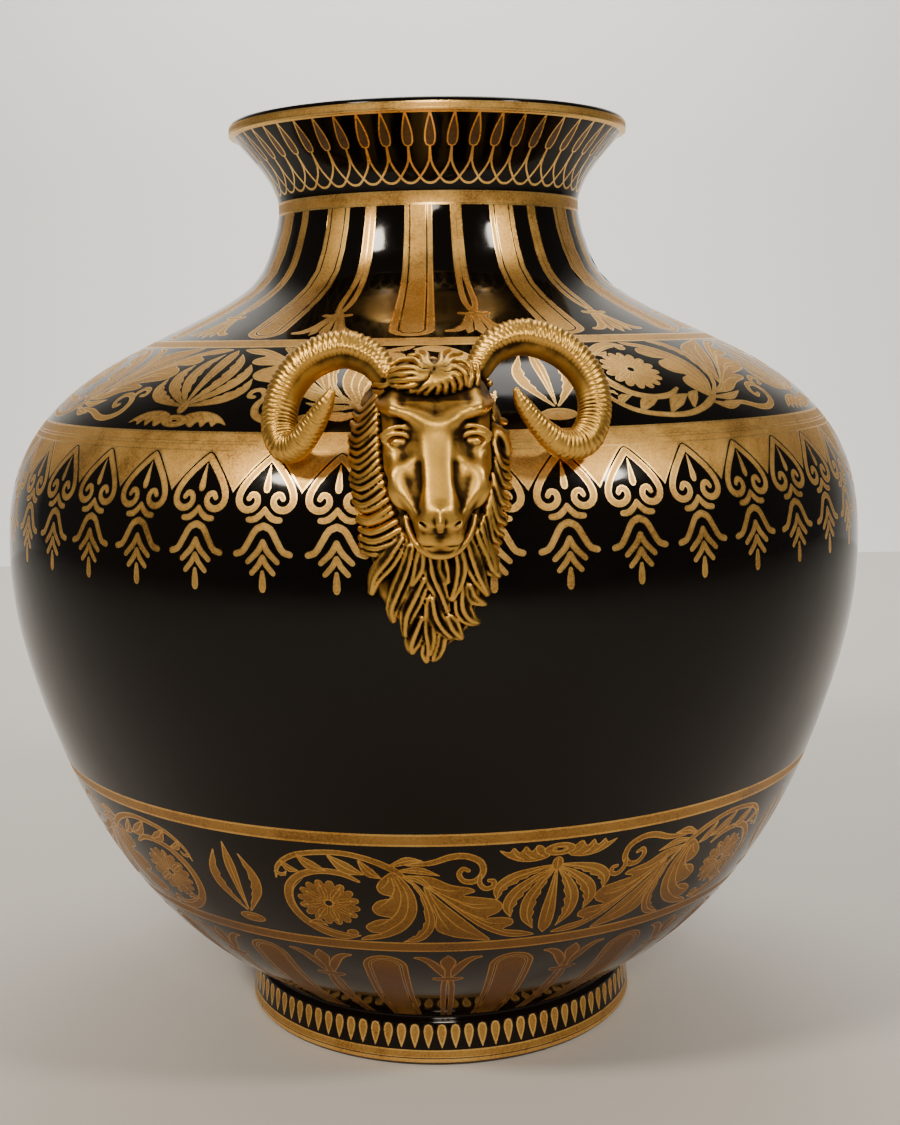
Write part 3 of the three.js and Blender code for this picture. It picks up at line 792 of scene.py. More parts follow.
def scroll_band(units, radius, low, high, flip):
    """Frieze of palmettes, scrolls and buds. units holds each palmette's angle and half unit."""
    scale = (high - low) / (SCROLL_TOP - SCROLL_BOTTOM)
    per_degree = math.radians(1) * radius

    def fitted(outline):
        s = low + (outline[:, 1] - SCROLL_BOTTOM) * scale
        return np.stack([outline[:, 0], high + low - s if flip else s], 1)

    def upright(outline):
        return np.stack([outline[:, 0], low + (outline[:, 1] - SCROLL_BOTTOM) * scale], 1)

    bud_half = BUD_HALF_ANGLE * per_degree
    bud_tile = Tile(bud().moved(upright), -bud_half, bud_half, low, high, 4.6, 5.2)
    wide = {}
    tiles = []
    for middle, half in units:
        edge = (half - BUD_HALF_ANGLE) * per_degree
        if half not in wide:
            wide[half] = Tile(scroll_unit(half * per_degree).moved(fitted), -edge, edge, low, high, 4.8, 5.2)
        inner = math.radians(half - BUD_HALF_ANGLE)
        start = math.radians(middle)
        tiles.append((wide[half], start - inner, start + inner))
        tiles.append((bud_tile, start + inner, start + inner + math.radians(2 * BUD_HALF_ANGLE)))
    return tiles


PLAIN_COLUMNS = 132
FOOT_COLUMNS = 144
STAND_COLUMNS = 96
FLOOR_COLUMNS = 60
INNER_COLUMNS = 72
CENTRE = 0.001
RECESS_HEIGHT = 11.0

# Rings of the rim's roll: radius, height, direction that it faces and paint
RIM_ROLL = (
    (87.2, 401.1, (0.86, -0.5), LINE), (89.0, 401.4, (0.6, -0.8), LINE),
    (89.2, 401.8, (1, -0.1), LINE), (89.2, 402.5, (1, 0), LINE),
    (89.2, 404.2, (1, 0), FILL), (89.2, 404.9, (1, 0.05), LINE),
    (89.1, 405.2, (0.95, 0.3), BLACK), (88.0, 406.5, (0.6, 0.8), BLACK),
    (85.85, 407.0, (0, 1), BLACK), (83.3, 406.3, (-0.6, 0.8), BLACK),
    (81.9, 403.6, (-0.95, 0.3), BLACK),
)


def stacked(wall, last, rings):
    """Joins rings, each with its paint, on top of the last one, and gives the new last one."""
    for ring, colour in rings:
        wall.join(last, ring, colour)
        last = ring
    return last


def striped(wall, last, stripes, columns=PLAIN_COLUMNS):
    """Plain rings at distances up the wall, each with the paint below it."""
    return stacked(wall, last, ((wall.wall_ring(s, columns), colour) for s, colour in stripes))


def gold_band(wall, last, low, high):
    """Plain gilt band between two burnished lines."""
    return striped(wall, last, ((low, BLACK), (low + 0.9, LINE), (high - 0.9, FILL), (high, LINE)))


def ornament(wall, last, tiles):
    bottom, top = wall.band(tiles)
    wall.join(last, bottom, BLACK)
    return top


def shoulder_units():
    angle = SHOULDER_PALMETTE
    units = []
    halves = (FRONT_HALF, FRONT_HALF, BACK_HALF, BACK_HALF)
    for k, half in enumerate(halves):
        units.append((angle, half))
        angle += half + halves[(k + 1) % 4]
    return units


def make_foot(wall):
    """Underside and foot. Gives the ring at the middle of the underside and the last ring."""
    centre = wall.ring(CENTRE, RECESS_HEIGHT, (0, -1), 3)
    recess = wall.ring(78.0, RECESS_HEIGHT, (0, -1), FLOOR_COLUMNS)
    cove = wall.ring(82.0, 7.0, (-0.7, -0.7), STAND_COLUMNS)
    stand_in = wall.ring(83.5, 0.0, (-0.3, -0.95), STAND_COLUMNS)
    stand_out = wall.ring(89.5, 0.0, (0.3, -0.95), STAND_COLUMNS)
    last = stacked(wall, centre, [(ring, BARE) for ring in (recess, cove, stand_in, stand_out)])
    stripes = ((-20.4, UMBER), (-18.9, LINE), (-18.4, UMBER), (-18.1, LINE), (-17.5, FILL),
               (-15.6, FILL), (-15.0, LINE))
    last = striped(wall, last, stripes, FOOT_COLUMNS)
    last = ornament(wall, last, repeated(*foot_drops(), FOOT_DROPS, FOOT_MIDDLE, FOOT_LOW, FOOT_HIGH, 4, 6))
    groove = [(s, BLACK) for s in (-2.0, -1.4, -0.4, 0.0, 0.5)]
    return centre, striped(wall, last, groove, FOOT_COLUMNS)


def make_inside(wall, last):
    """Inner wall and floor, down to the middle."""
    for z in np.concatenate([np.linspace(398, 300, 12), np.linspace(288, 44, 12)]):
        slope = float(outer_radius(z + 0.5) - outer_radius(z - 0.5))
        lean = math.hypot(1, slope)
        radius = float(outer_radius(z)) - WALL * lean
        ring = wall.ring(radius, float(z), (-1 / lean, slope / lean), INNER_COLUMNS)
        last = stacked(wall, last, [(ring, BLACK)])
    for radius, height, normal, columns in ((88.0, 35.0, (-0.8, 0.6), FLOOR_COLUMNS),
                                            (66.0, 22.5, (-0.3, 0.95), FLOOR_COLUMNS),
                                            (CENTRE, 21.0, (0, 1), 3)):
        last = stacked(wall, last, [(wall.ring(radius, height, normal, columns), BLACK)])
    return last


def make_vase(paints):
    wall = Wall()
    centre, last = make_foot(wall)
    last = ornament(wall, last, repeated(*low_tongues(), LOW_TONGUES, LOW_MIDDLE, LOW_LOW, LOW_HIGH, 6, 5))
    last = gold_band(wall, last, 77.0, 83.4)
    lower = [(LOWER_PALMETTE + 90 * k, 45.0) for k in range(4)]
    last = ornament(wall, last, scroll_band(lower, LOWER_RADIUS, LOWER_LOW, LOWER_HIGH, True))
    last = gold_band(wall, last, 136.4, 142.1)
    last = striped(wall, last, [(s, BLACK) for s in np.linspace(149, 231, 14)])
    last = ornament(wall, last, repeated(*hearts(), HEARTS, HEARTS_MIDDLE, HEARTS_LOW, HEARTS_HIGH, 4.6, 5.5))
    stripes = ((291.0, FILL), (291.5, LINE), (292.3, FILL), (292.7, LINE), (295.9, FILL), (296.8, LINE))
    last = striped(wall, last, stripes)
    frieze = scroll_band(shoulder_units(), SHOULDER_RADIUS, SCROLL_BOTTOM, SCROLL_TOP + 0.3, False)
    last = ornament(wall, last, frieze)
    last = gold_band(wall, last, 349.5, 356.0)
    last = ornament(wall, last, repeated(*neck(), TONGUES, NECK_MIDDLE, NECK_LOW, NECK_HIGH, 5, 4.6))
    last = gold_band(wall, last, 439.0, 444.7)
    last = striped(wall, last, [(445.6, BLACK)])
    last = ornament(wall, last, repeated(*rim_drops(), RIM_DROPS, RIM_MIDDLE, RIM_LOW, RIM_HIGH, 4.6, 4.2, 5))
    roll = [(wall.ring(radius, height, normal, PLAIN_COLUMNS), colour)
            for radius, height, normal, colour in RIM_ROLL]
    last = make_inside(wall, stacked(wall, last, roll))
    wall.faces += [tuple(i for _, i in reversed(centre)), tuple(i for _, i in last)]
    wall.paint += [BARE, BLACK]
    return wall.mesh("vase_porcelain", paints)


# Distance field, in which the head and its hair are modelled before they become a mesh

class Clay:
    """Signed distances on a grid, negative inside. Shapes are added, blended and cut."""

    def __init__(self, low, high, step):
        self.low = np.array(low, float)
        self.step = step
        self.count = np.ceil((np.array(high, float) - self.low) / step).astype(int) + 1
        self.field = np.full(self.count, 50.0, np.float32)

    def window(self, low, high):
        first = np.clip(((np.array(low) - self.low) / self.step).astype(int), 0, self.count - 1)
        last = np.clip(((np.array(high) - self.low) / self.step).astype(int) + 2, 1, self.count)
        axes = [self.low[i] + self.step * np.arange(first[i], last[i]) for i in range(3)]
        where = tuple(slice(first[i], last[i]) for i in range(3))
        return where, *np.meshgrid(*axes, indexing="ij", sparse=True)

    def add(self, where, distance, blend):
        self.field[where] = smooth_min(self.field[where], distance, blend)

    def cut(self, where, distance, blend):
        self.field[where] = -smooth_min(-self.field[where], distance, blend)

    def ellipsoid(self, centre, radii, blend=1.0, turn=0.0, carve=False):
        """turn is in degrees about Y, clockwise as seen from the front."""
        reach = max(radii) + blend + 1
        centre = np.array(centre, float)
        where, x, y, z = self.window(centre - reach, centre + reach)
        c, s = math.cos(math.radians(turn)), math.sin(math.radians(turn))
        u = (x - centre[0]) * c - (z - centre[2]) * s
        w = (x - centre[0]) * s + (z - centre[2]) * c
        k = np.sqrt((u / radii[0]) ** 2 + ((y - centre[1]) / radii[1]) ** 2 + (w / radii[2]) ** 2)
        distance = (k - 1) * min(radii)
        (self.cut if carve else self.add)(where, distance, blend)

    def strand(self, points, radii, blend=0.5, carve=False):
        """Round bar through the points, with its own radius at each."""
        points = np.asarray(points, float)
        radii = np.asarray(radii, float)
        reach = radii.max() + blend + 1
        where, x, y, z = self.window(points.min(0) - reach, points.max(0) + reach)
        distance = None
        for a, b, ra, rb in zip(points[:-1], points[1:], radii[:-1], radii[1:]):
            d = b - a
            length = max(float(d @ d), 1e-9)
            t = np.clip(((x - a[0]) * d[0] + (y - a[1]) * d[1] + (z - a[2]) * d[2]) / length, 0, 1)
            off = (x - a[0] - t * d[0], y - a[1] - t * d[1], z - a[2] - t * d[2])
            gap = np.sqrt(off[0] ** 2 + off[1] ** 2 + off[2] ** 2)
            part = gap - (ra + t * (rb - ra))
            distance = part if distance is None else np.minimum(distance, part)
        (self.cut if carve else self.add)(where, distance, blend)

    def mesh(self):
        """Surface nets: one vertex in each cell that the surface passes, one quad for each edge."""
        inside = self.field < 0
        cells = np.zeros(self.count - 1, np.int8)
        offsets = [(i, j, k) for i in (0, 1) for j in (0, 1) for k in (0, 1)]
        n = self.count - 1
        for i, j, k in offsets:
            cells += inside[i:i + n[0], j:j + n[1], k:k + n[2]]
        index = np.argwhere((cells > 0) & (cells < 8))
        number = np.full(n, -1, np.int64)
        number[tuple(index.T)] = np.arange(len(index))
        value = {o: self.field[tuple((index + o).T)] for o in offsets}
        total = np.zeros((len(index), 3))
        hits = np.zeros(len(index))
        for a in offsets:
            for axis in range(3):
                if a[axis]:
                    continue
                b = tuple(a[i] + (i == axis) for i in range(3))
                crossing = (value[a] < 0) != (value[b] < 0)
                share = np.where(crossing, value[a] / np.where(crossing, value[a] - value[b], 1), 0)
                place = np.array(a, float) + share[:, None] * np.eye(3)[axis]
                total += place * crossing[:, None]
                hits += crossing
        vertices = self.low + self.step * (index + total / hits[:, None])
        faces = []
        for axis in range(3):
            u, v = (axis + 1) % 3, (axis + 2) % 3
            here = [slice(1, -1)] * 3
            there = [slice(1, -1)] * 3
            here[axis] = slice(0, -1)
            there[axis] = slice(1, None)
            start, end = inside[tuple(here)], inside[tuple(there)]
            for flip, change in ((False, start & ~end), (True, ~start & end)):
                at = np.argwhere(change) + 1
                at[:, axis] -= 1
                corner = []
                for du, dv in ((1, 1), (0, 1), (0, 0), (1, 0)):
                    cell = at.copy()
                    cell[:, u] -= du
                    cell[:, v] -= dv
                    corner.append(number[tuple(cell.T)])
                quad = np.stack(corner, 1)
                faces.append(quad[:, ::-1] if flip else quad)
        return vertices, np.concatenate(faces)


def smooth_min(a, b, blend):
    h = np.clip(0.5 + 0.5 * (a - b) / blend, 0, 1)
    return a + (b - a) * h - blend * h * (1 - h)


# The ram's head

CLEARANCE = 0.35
HEAD_LOW = (-37, -222, 196)
HEAD_HIGH = (36, -139, 311)
CLAY_STEP = 0.56
HEAD_TRIANGLES = 158000

# Face at each height: half width, depth of the nose ridge, half width of the ridge, how far
# the hollow beside it and the cheek fall back, and how far the outer edge is lifted
FACE_STATIONS = (
    (240.6, 4.2, -206.5, 1.6, 0.4, 2.2, 0),
    (242.6, 6.8, -209.6, 3.2, 0.8, 3.0, 0),
    (246.0, 8.4, -210.6, 3.8, 1.2, 4.4, 0),
    (248.0, 9.0, -213.4, 4.0, 1.2, 5.6, 0),
    (251.5, 9.8, -216.2, 4.6, 2.2, 7.4, 0),
    (256.0, 12.0, -215.4, 4.6, 3.8, 7.6, 0),
    (262.0, 16.2, -212.6, 4.6, 4.6, 6.4, 0),
    (268.5, 18.6, -209.6, 4.6, 4.6, 5.8, 0),
    (273.0, 19.0, -207.4, 4.6, 4.8, 6.8, 0),
    (278.5, 18.8, -205.0, 4.8, 5.6, 8.0, 1.0),
    (283.5, 18.8, -203.2, 5.4, 4.0, 6.4, 3.0),
    (287.0, 19.0, -201.8, 6.5, 0.8, 2.6, 3.6),
    (290.5, 18.8, -198.8, 7.0, 0.4, 1.8, 2.2),
    (297.0, 17.4, -192.0, 7.0, 0.6, 2.4, 0),
    (302.0, 15.0, -186.0, 5.0, 1.0, 4.0, 0),
    (304.6, 10.0, -177.0, 4.0, 1.0, 4.0, 0),
)
FACE_TOP = 304.6
FACE_BOTTOM = 240.2
FACE_AXIS = ((238, 2.3), (255, 2.2), (278, 1.3), (305, 1.0))


def face_middle(z):
    return np.interp(z, [p[0] for p in FACE_AXIS], [p[1] for p in FACE_AXIS])


def face_front(across, z):
    """Y of the face at a distance from its middle line, at a height."""
    table = np.array(FACE_STATIONS, float)
    lift = np.interp(z, table[:, 0], table[:, 6])
    half = np.interp(z, table[:, 0], table[:, 1])
    level = z - lift * np.minimum(np.abs(across) / half, 1)
    half, ridge, flat, hollow, cheek = (np.interp(level, table[:, 0], table[:, i]) for i in range(1, 6))
    a = np.abs(across) / half
    at = np.stack([0 * a, flat / half + 0 * a, 0.56 + 0 * a, 0.84 + 0 * a, 1.0 + 0 * a])
    back = np.stack([0 * a, 0.4 + 0 * a, hollow + 0 * a, cheek + 0 * a, cheek + 9 + 0 * a])
    out = back[-1] + (a - 1) * 40
    for i in range(4):
        width = at[i + 1] - at[i]
        t = np.clip((a - at[i]) / width, 0, 1)
        secant = (back[i + 1] - back[i]) / width
        before = (back[i] - back[i - 1]) / (at[i] - at[i - 1]) if i else 0 * a
        after = (back[i + 2] - back[i + 1]) / (at[i + 2] - at[i + 1]) if i < 3 else secant * 2
        m0 = (before + secant) / 2 * width if i else 0 * a
        m1 = (secant + after) / 2 * width
        h = (2 * t ** 3 - 3 * t ** 2 + 1) * back[i] + (t ** 3 - 2 * t ** 2 + t) * m0
        h = h + (3 * t ** 2 - 2 * t ** 3) * back[i + 1] + (t ** 3 - t ** 2) * m1
        out = np.where((a >= at[i]) & (a <= at[i + 1]), h, out)
    return ridge + out, half


def shape_face(clay):
    where, x, y, z = clay.window(HEAD_LOW, HEAD_HIGH)
    across = x - face_middle(z)
    front, half = face_front(across[:, :1, :], z[:, :1, :])
    facing = (front - y).astype(np.float32)
    slope_x = np.gradient(front[:, 0, :], clay.step, axis=0)
    slope_z = np.gradient(front[:, 0, :], clay.step, axis=1)
    steep = np.sqrt(1 + np.minimum(slope_x ** 2 + slope_z ** 2, 4))[:, None, :]
    distance = facing / steep
    sides = np.abs(across) - half - 0.2
    distance = -smooth_min(-distance, -sides, 2.5)
    ends = np.maximum(z - FACE_TOP, FACE_BOTTOM - z)
    distance = -smooth_min(-distance, -ends, 2.0)
    clay.add(where, distance, 0.01)


def on_face(across, z, proud=0.0):
    """Point on the front of the face, raised by proud."""
    front, _ = face_front(np.array(float(across)), np.array(float(z)))
    return np.array([across + face_middle(z), float(front) - proud, z])


def shape_features(clay):
    # The brow breaks forward in a shallow V that ends over the bridge of the nose
    brow = [on_face(a, z, -0.5) for a, z in
            ((-19.2, 290.6), (-14, 289.0), (-8, 286.6), (-3, 284.6), (0.8, 283.9),
             (4.6, 284.6), (9, 286.6), (14.5, 288.8), (18.6, 290.2))]
    clay.strand(smooth_curve(brow, 24), np.interp(np.linspace(0, 1, 25), [0, 0.5, 1], [1.1, 1.7, 1.1]), 3.6)
    # Flat of the nose, with a firm edge on each side
    for side in (-1, 1):
        edge = [on_face(side * 3.0, z, 0.0) + np.array([0, 1.7, 0]) for z in (282.5, 276, 269, 262, 257.5)]
        clay.strand(smooth_curve(edge, 16), np.full(17, 1.7), 2.0)
    bridge = [on_face(0, z, 0.0) + np.array([0, 1.9, 0]) for z in (283, 276, 269, 262, 256)]
    clay.strand(smooth_curve(bridge, 16), np.full(17, 2.3), 2.4)
    for side in (-1, 1):
        middle = face_middle(277.4)
        slant = side * -7
        eye = np.array([middle + side * 11.8, -198.2, 277.6])
        clay.ellipsoid(eye + [side * -0.9, 1.6, 0.2], (5.4, 2.8, 4.0), 2.0, slant, carve=True)
        clay.ellipsoid(eye + [0, 0.3, 0], (3.9, 2.5, 2.3), 0.5, slant)
        lids = (
            (((6.0, 275.4), (8.2, 279.2), (11.6, 280.9), (15.0, 280.6), (17.6, 278.7)), 0.8, 0.9),
            (((6.0, 275.4), (8.8, 274.5), (12.0, 274.3), (15.2, 275.9), (17.6, 278.7)), 0.66, 0.9),
            (((4.9, 277.4), (7.6, 281.6), (11.8, 283.4), (15.8, 282.6), (18.6, 280.3)), 0.62, 1.7),
            (((6.6, 273.4), (10.0, 272.2), (13.4, 272.6), (16.6, 274.6)), 0.55, 1.6),
        )
        for points, radius, blend in lids:
            arc = []
            for a, z in points:
                bulge = 2.0 * max(0.0, 1 - ((a - 11.8) / 7.5) ** 2)
                arc.append((middle + side * a, -198.3 - bulge, z))
            clay.strand(smooth_curve(arc, 18), np.full(19, radius), blend)
        clay.ellipsoid(eye + [side * 0.3, -3.0, 0.1], (0.9, 1.0, 0.9), 0.5, carve=True)
        # Cheeks: a swelling under the eye, and the long cheekbone below it
        clay.ellipsoid(on_face(side * 10.6, 268.4, -1.4), (4.6, 2.6, 3.2), 2.6, side * 20)
        clay.ellipsoid(on_face(side * 13.0, 261.0, -1.6), (3.6, 2.8, 5.6), 2.6, side * 28)
        clay.strand(smooth_curve([on_face(side * 6.6, 271, 0.4), on_face(side * 7.2, 264, 0.6),
                                  on_face(side * 8.4, 257.5, 0.4)], 10),
                    np.array([0.4, 0.7, 0.9, 1.1, 1.2, 1.2, 1.1, 0.9, 0.8, 0.6, 0.4]), 3.0, carve=True)
        # Nostril wings, the nostrils and the upper lip
        nose = face_middle(251)
        clay.ellipsoid((nose + side * 5.0, -212.6, 252.2), (2.8, 3.2, 2.8), 1.8, side * 30)
        clay.ellipsoid((nose + side * 3.4, -209.6, 246.6), (4.6, 3.4, 3.6), 1.8, side * -16)
        clay.strand([(nose + side * 3.2, -217.4, 250.2), (nose + side * 5.0, -216.6, 251.0),
                     (nose + side * 6.4, -214.4, 252.6)], [0.7, 1.05, 0.6], 0.6, carve=True)
        # Fold from the nostril down to the corner of the mouth
        clay.strand(smooth_curve([(nose + side * 9.4, -210.0, 253.6), (nose + side * 10.4, -207.4, 250.4),
                                  (nose + side * 11.0, -205.0, 248.6)], 8), np.full(9, 0.7), 0.9, carve=True)
    # Bulb of the nose with its middle ridge, and the groove of the lip
    clay.ellipsoid((2.2, -213.6, 255.0), (4.8, 3.4, 3.6), 2.0)
    clay.strand([(2.2, -216.6, 256.4), (2.2, -217.4, 252.6), (2.2, -215.4, 249.6)], [0.9, 1.2, 0.7], 1.4)
    clay.strand([(2.2, -216.2, 249.4), (2.3, -213.6, 244.4)], [0.55, 0.55], 0.5, carve=True)
    # Mouth, and the thin rim of the jaw below it
    mouth = ((-6.6, -205.6, 249.0), (-4.8, -208.6, 245.8), (-1.6, -211.2, 243.9), (2.3, -212.6, 243.3),
             (6.2, -211.2, 243.9), (9.4, -208.6, 245.8), (11.2, -205.6, 249.0))
    clay.strand(smooth_curve(mouth, 30), np.full(31, 0.7), 0.6, carve=True)
    rim = ((-9.4, -202.4, 253.0), (-8.4, -204.2, 249.0), (-6.2, -206.0, 244.6), (-2.6, -207.6, 241.4),
           (2.3, -208.4, 240.2), (7.2, -207.6, 241.4), (10.8, -206.0, 244.6), (13.0, -204.2, 249.0),
           (14.0, -202.4, 253.0))
    clay.strand(smooth_curve(rim, 40), 0.9 + 0.2 * np.sin(np.linspace(0, math.pi, 41)), 2.2)


# Outer edge of the mane and beard from the left temple round the tip to the right one,
# and the edge of the face that the hair grows from, as x and z
MANE_OUTLINE = (
    (-23.5, 297), (-26.8, 291), (-28.3, 284), (-28.8, 276), (-28.8, 268), (-28.0, 260), (-26.6, 252),
    (-25.0, 244), (-23.8, 235), (-22.2, 224.8), (-18.4, 219), (-14.5, 214.6), (-11.0, 208.4),
    (-8.2, 203.6), (-2.6, 200.4), (3.4, 204.0), (10.0, 208.6), (14.8, 213.2), (18.2, 222.6),
    (21.2, 233), (23.4, 244), (25.6, 253), (26.8, 262), (27.2, 270), (27.0, 278), (26.0, 286),
    (23.0, 292), (20.0, 297),
)
FACE_EDGE = (
    (-17.6, 297), (-18.4, 290), (-18.4, 281), (-18.2, 272), (-16.4, 263), (-13.4, 254.5),
    (-10.6, 248), (-6.0, 242.6), (-1.6, 240.4), (2.3, 239.8), (6.4, 240.4), (10.6, 242.6),
    (15.0, 248), (17.6, 254.5), (19.8, 263), (20.8, 272), (20.8, 281), (20.2, 290), (18.4, 297),
)
MANE_DEPTH = (
    (200, -194.4), (212, -198.0), (226, -201.4), (240, -202.0), (256, -199.0), (272, -195.0), (300, -187.0),
)


def mane_y(x, z, q):
    """Depth of the hair from the edge of the face, q = 0, out to the mane's edge, q = 1."""
    inner = np.interp(z, [p[0] for p in MANE_DEPTH], [p[1] for p in MANE_DEPTH])
    outer = surface_y(x, z) - 1.3
    return outer + (inner - outer) * np.sqrt(np.clip(1 - q ** 1.8, 0, 1))


def lock(clay, route, strands, gap, radius, depth, tip=0.45):
    """Lock of hair: ridges side by side along a route of x and z, drawn together at the tip."""
    route = smooth_curve(route, 12)
    t = np.linspace(0, 1, len(route))
    along = np.gradient(route, axis=0)
    along /= np.linalg.norm(along, axis=1)[:, None]
    side = np.stack([along[:, 1], -along[:, 0]], 1)
    envelope = (0.72 + 0.5 * np.sin(math.pi * np.clip(t * 1.05, 0, 1))) * (1 - (1 - tip) * t ** 2.5)
    if strands > 1:
        body = envelope * gap * (strands - 0.25) / 2
        y = depth(route[:, 0], route[:, 1], t) + 0.97 * body + 0.15
        clay.strand(np.stack([route[:, 0], y, route[:, 1]], 1), body, 0.3)
    for k in range(strands):
        offset = (k - (strands - 1) / 2) * gap
        place = route + side * (offset * envelope)[:, None]
        y = depth(place[:, 0], place[:, 1], t) + 0.4 * abs(offset)
        own = 1 + 0.05 * math.sin(5 * k + route[0, 0])
        size = radius * np.clip(1.05 - 0.25 * t ** 3 - 0.25 * (1 - t) ** 6, 0.3, 2) * own
        clay.strand(np.stack([place[:, 0], y, place[:, 1]], 1), size, 0.22)


def mane_bounds(z):
    """Left and right edge of the mane at a height."""
    left = np.array([p for p in MANE_OUTLINE if p[0] < -2.6] + [(-2.6, 200.4)])
    right = np.array([(-2.6, 200.4)] + [p for p in MANE_OUTLINE if p[0] > -2.6])
    return np.interp(z, left[::-1, 1], left[::-1, 0]), np.interp(z, right[:, 1], right[:, 0])


def mane_front(x, z, rise=0.0):
    """Depth of the hair at a place seen from the front."""
    low, high = mane_bounds(z)
    middle, half = (low + high) / 2, np.maximum((high - low) / 2, 1.0)
    return mane_y(x, z, np.clip(np.abs(x - middle) / half, 0, 0.97)) - rise


# Locks of the beard as routes of x and z, from the lowest layer to the top one, with the number
# of ridges and how far the lock stands out
BEARD = (
    (((-0.6, 214), (-2.6, 208), (-3.6, 204.4), (-3.2, 201.6)), 2, 0.0),
    (((2.4, 213), (1.8, 208), (0.4, 204), (-0.8, 202)), 2, 0.2),
    (((-4.4, 218), (-6.8, 212), (-8.2, 207.6), (-8.2, 204.8)), 3, 0.4),
    (((4.2, 218), (6.0, 213.6), (9.0, 210.0)), 3, 0.4),
    (((-2.2, 223), (-2.0, 215), (-1.6, 209), (-2.2, 204.6)), 2, 0.8),
    (((9.4, 229), (9.4, 221.5), (11.6, 217.2), (14.8, 215.2)), 3, 0.8),
    (((11.4, 229), (12.8, 224.4), (17.4, 221.6)), 2, 0.8),
    (((-0.8, 225), (0.2, 218.6), (2.4, 214.2), (5.2, 210.8)), 3, 1.3),
    (((-3.4, 232), (-6.8, 225), (-9.6, 218.5), (-10.4, 211.4)), 3, 1.3),
    (((-7.0, 243), (-9.2, 234.6), (-12.4, 227), (-14.6, 221), (-14.4, 216.4)), 3, 1.6),
    (((-1.4, 240), (-0.4, 233), (2.0, 227), (4.2, 220.4)), 3, 1.9),
    (((8.0, 242), (9.2, 236), (8.2, 230), (5.8, 224.6)), 2, 2.1),
    (((2.6, 240), (3.2, 235), (4.6, 230.6)), 2, 1.5),
    (((14.4, 247), (17.4, 240), (19.6, 234), (22.2, 231.4)), 3, 1.2),
    (((11.0, 245), (13.0, 238), (15.0, 232), (18.2, 225.2)), 3, 2.0),
    (((-4.4, 241.6), (-5.4, 235.4), (-7.6, 230)), 2, 2.2),
    (((-10.2, 246), (-15.4, 238.4), (-20.0, 232.4), (-21.8, 226)), 3, 1.4),
)

# Locks of the forelock, which part from a whorl at its middle
FORELOCK = (
    ((0.0, 303.6), (-3.6, 306.4), (-7.4, 306.6)), ((0.4, 304.6), (-1.4, 307.0), (-3.4, 308.0)),
    ((-1.0, 302.8), (-5.6, 305.2), (-10.6, 305.4), (-13.6, 303.6)),
    ((-1.6, 301.6), (-6.0, 302.6), (-10.6, 302.6), (-14.0, 301.4)),
    ((-1.8, 300.6), (-6.0, 300.8), (-10.6, 300.5), (-14.4, 299.8)),
    ((-2.2, 299.4), (-6.4, 298.9), (-10.6, 298.4), (-14.6, 298.3)),
    ((-2.0, 298.2), (-6.2, 296.8), (-10.4, 296.3), (-14.8, 297.2)),
    ((-2.2, 297.0), (-6.0, 294.9), (-10.4, 294.2), (-15.2, 295.8)),
    ((-0.4, 299.6), (-2.4, 296.4), (-5.4, 293.6), (-8.4, 292.4)),
    ((0.8, 299.2), (-0.4, 295.6), (-2.8, 293.0), (-5.6, 291.6)),
    ((2.0, 299.4), (2.6, 296.4), (1.6, 293.4), (-0.6, 291.4)),
    ((2.8, 300.0), (4.8, 297.4), (4.6, 294.0), (3.0, 291.6)),
    ((3.6, 300.8), (6.6, 298.6), (7.6, 295.4), (6.0, 292.0)),
    ((4.0, 301.6), (8.2, 300.2), (10.0, 297.0), (8.8, 293.0)),
    ((4.0, 302.6), (8.0, 302.8), (11.4, 300.4), (11.8, 296.4)),
    ((3.8, 303.4), (7.4, 304.8), (11.4, 304.4), (14.0, 301.8)),
    ((3.2, 304.0), (6.4, 306.4), (10.6, 307.0)), ((2.2, 304.6), (3.8, 307.0), (6.4, 308.2)),
    ((13.6, 304), (13.6, 299), (12.6, 295.4), (13.4, 292.4)),
    ((16.0, 303), (15.8, 298), (14.8, 294.4), (15.8, 291.6)),
    ((-13.6, 297.6), (-16.6, 296.6), (-19.4, 297.0)), ((-13.8, 295.0), (-16.8, 294.2), (-19.8, 294.6)),
)


WHORL = np.array([1.0, 301.6])
WHORL_REACH = 4.2


def from_whorl(route):
    """Draws the root of a lock in to the whorl, if it starts there, and bends the lock round it."""
    start = np.array(route[0])
    if math.dist(start, WHORL) > WHORL_REACH:
        return route
    root = WHORL + 0.35 * (start - WHORL)
    way = np.array(route[1]) - root
    turn = 0.9 if start[0] < WHORL[0] else -0.9
    bend = root + way / 2 + turn * np.array([-way[1], way[0]]) / np.linalg.norm(way)
    return [root, bend, *route[1:]]


def forelock_y(x, z, t):
    return (-196.6 + 6.0 * (np.abs(x) / 15) ** 2.2 + 13 * np.clip((z - 298.5) / 9, 0, 2) ** 2
            + 4.5 * np.clip((298 - z) / 7, 0, 2) ** 2 - 0.9 * np.sin(math.pi * t))


LEFT_RIDGES = 21
RIGHT_RIDGES = 17
BEARD_GAP = 2.15
BEARD_RADIUS = 0.8


def ridge_route(x0, x1, z0, drop, middle, end):
    """Route of a ridge of the mane, whose middle is given as shares of its reach and drop."""
    points = [(x0 + (x1 - x0) * side, z0 - drop * down) for side, down in middle]
    return ((x0, z0), *points, (x1, z0 - drop * end))


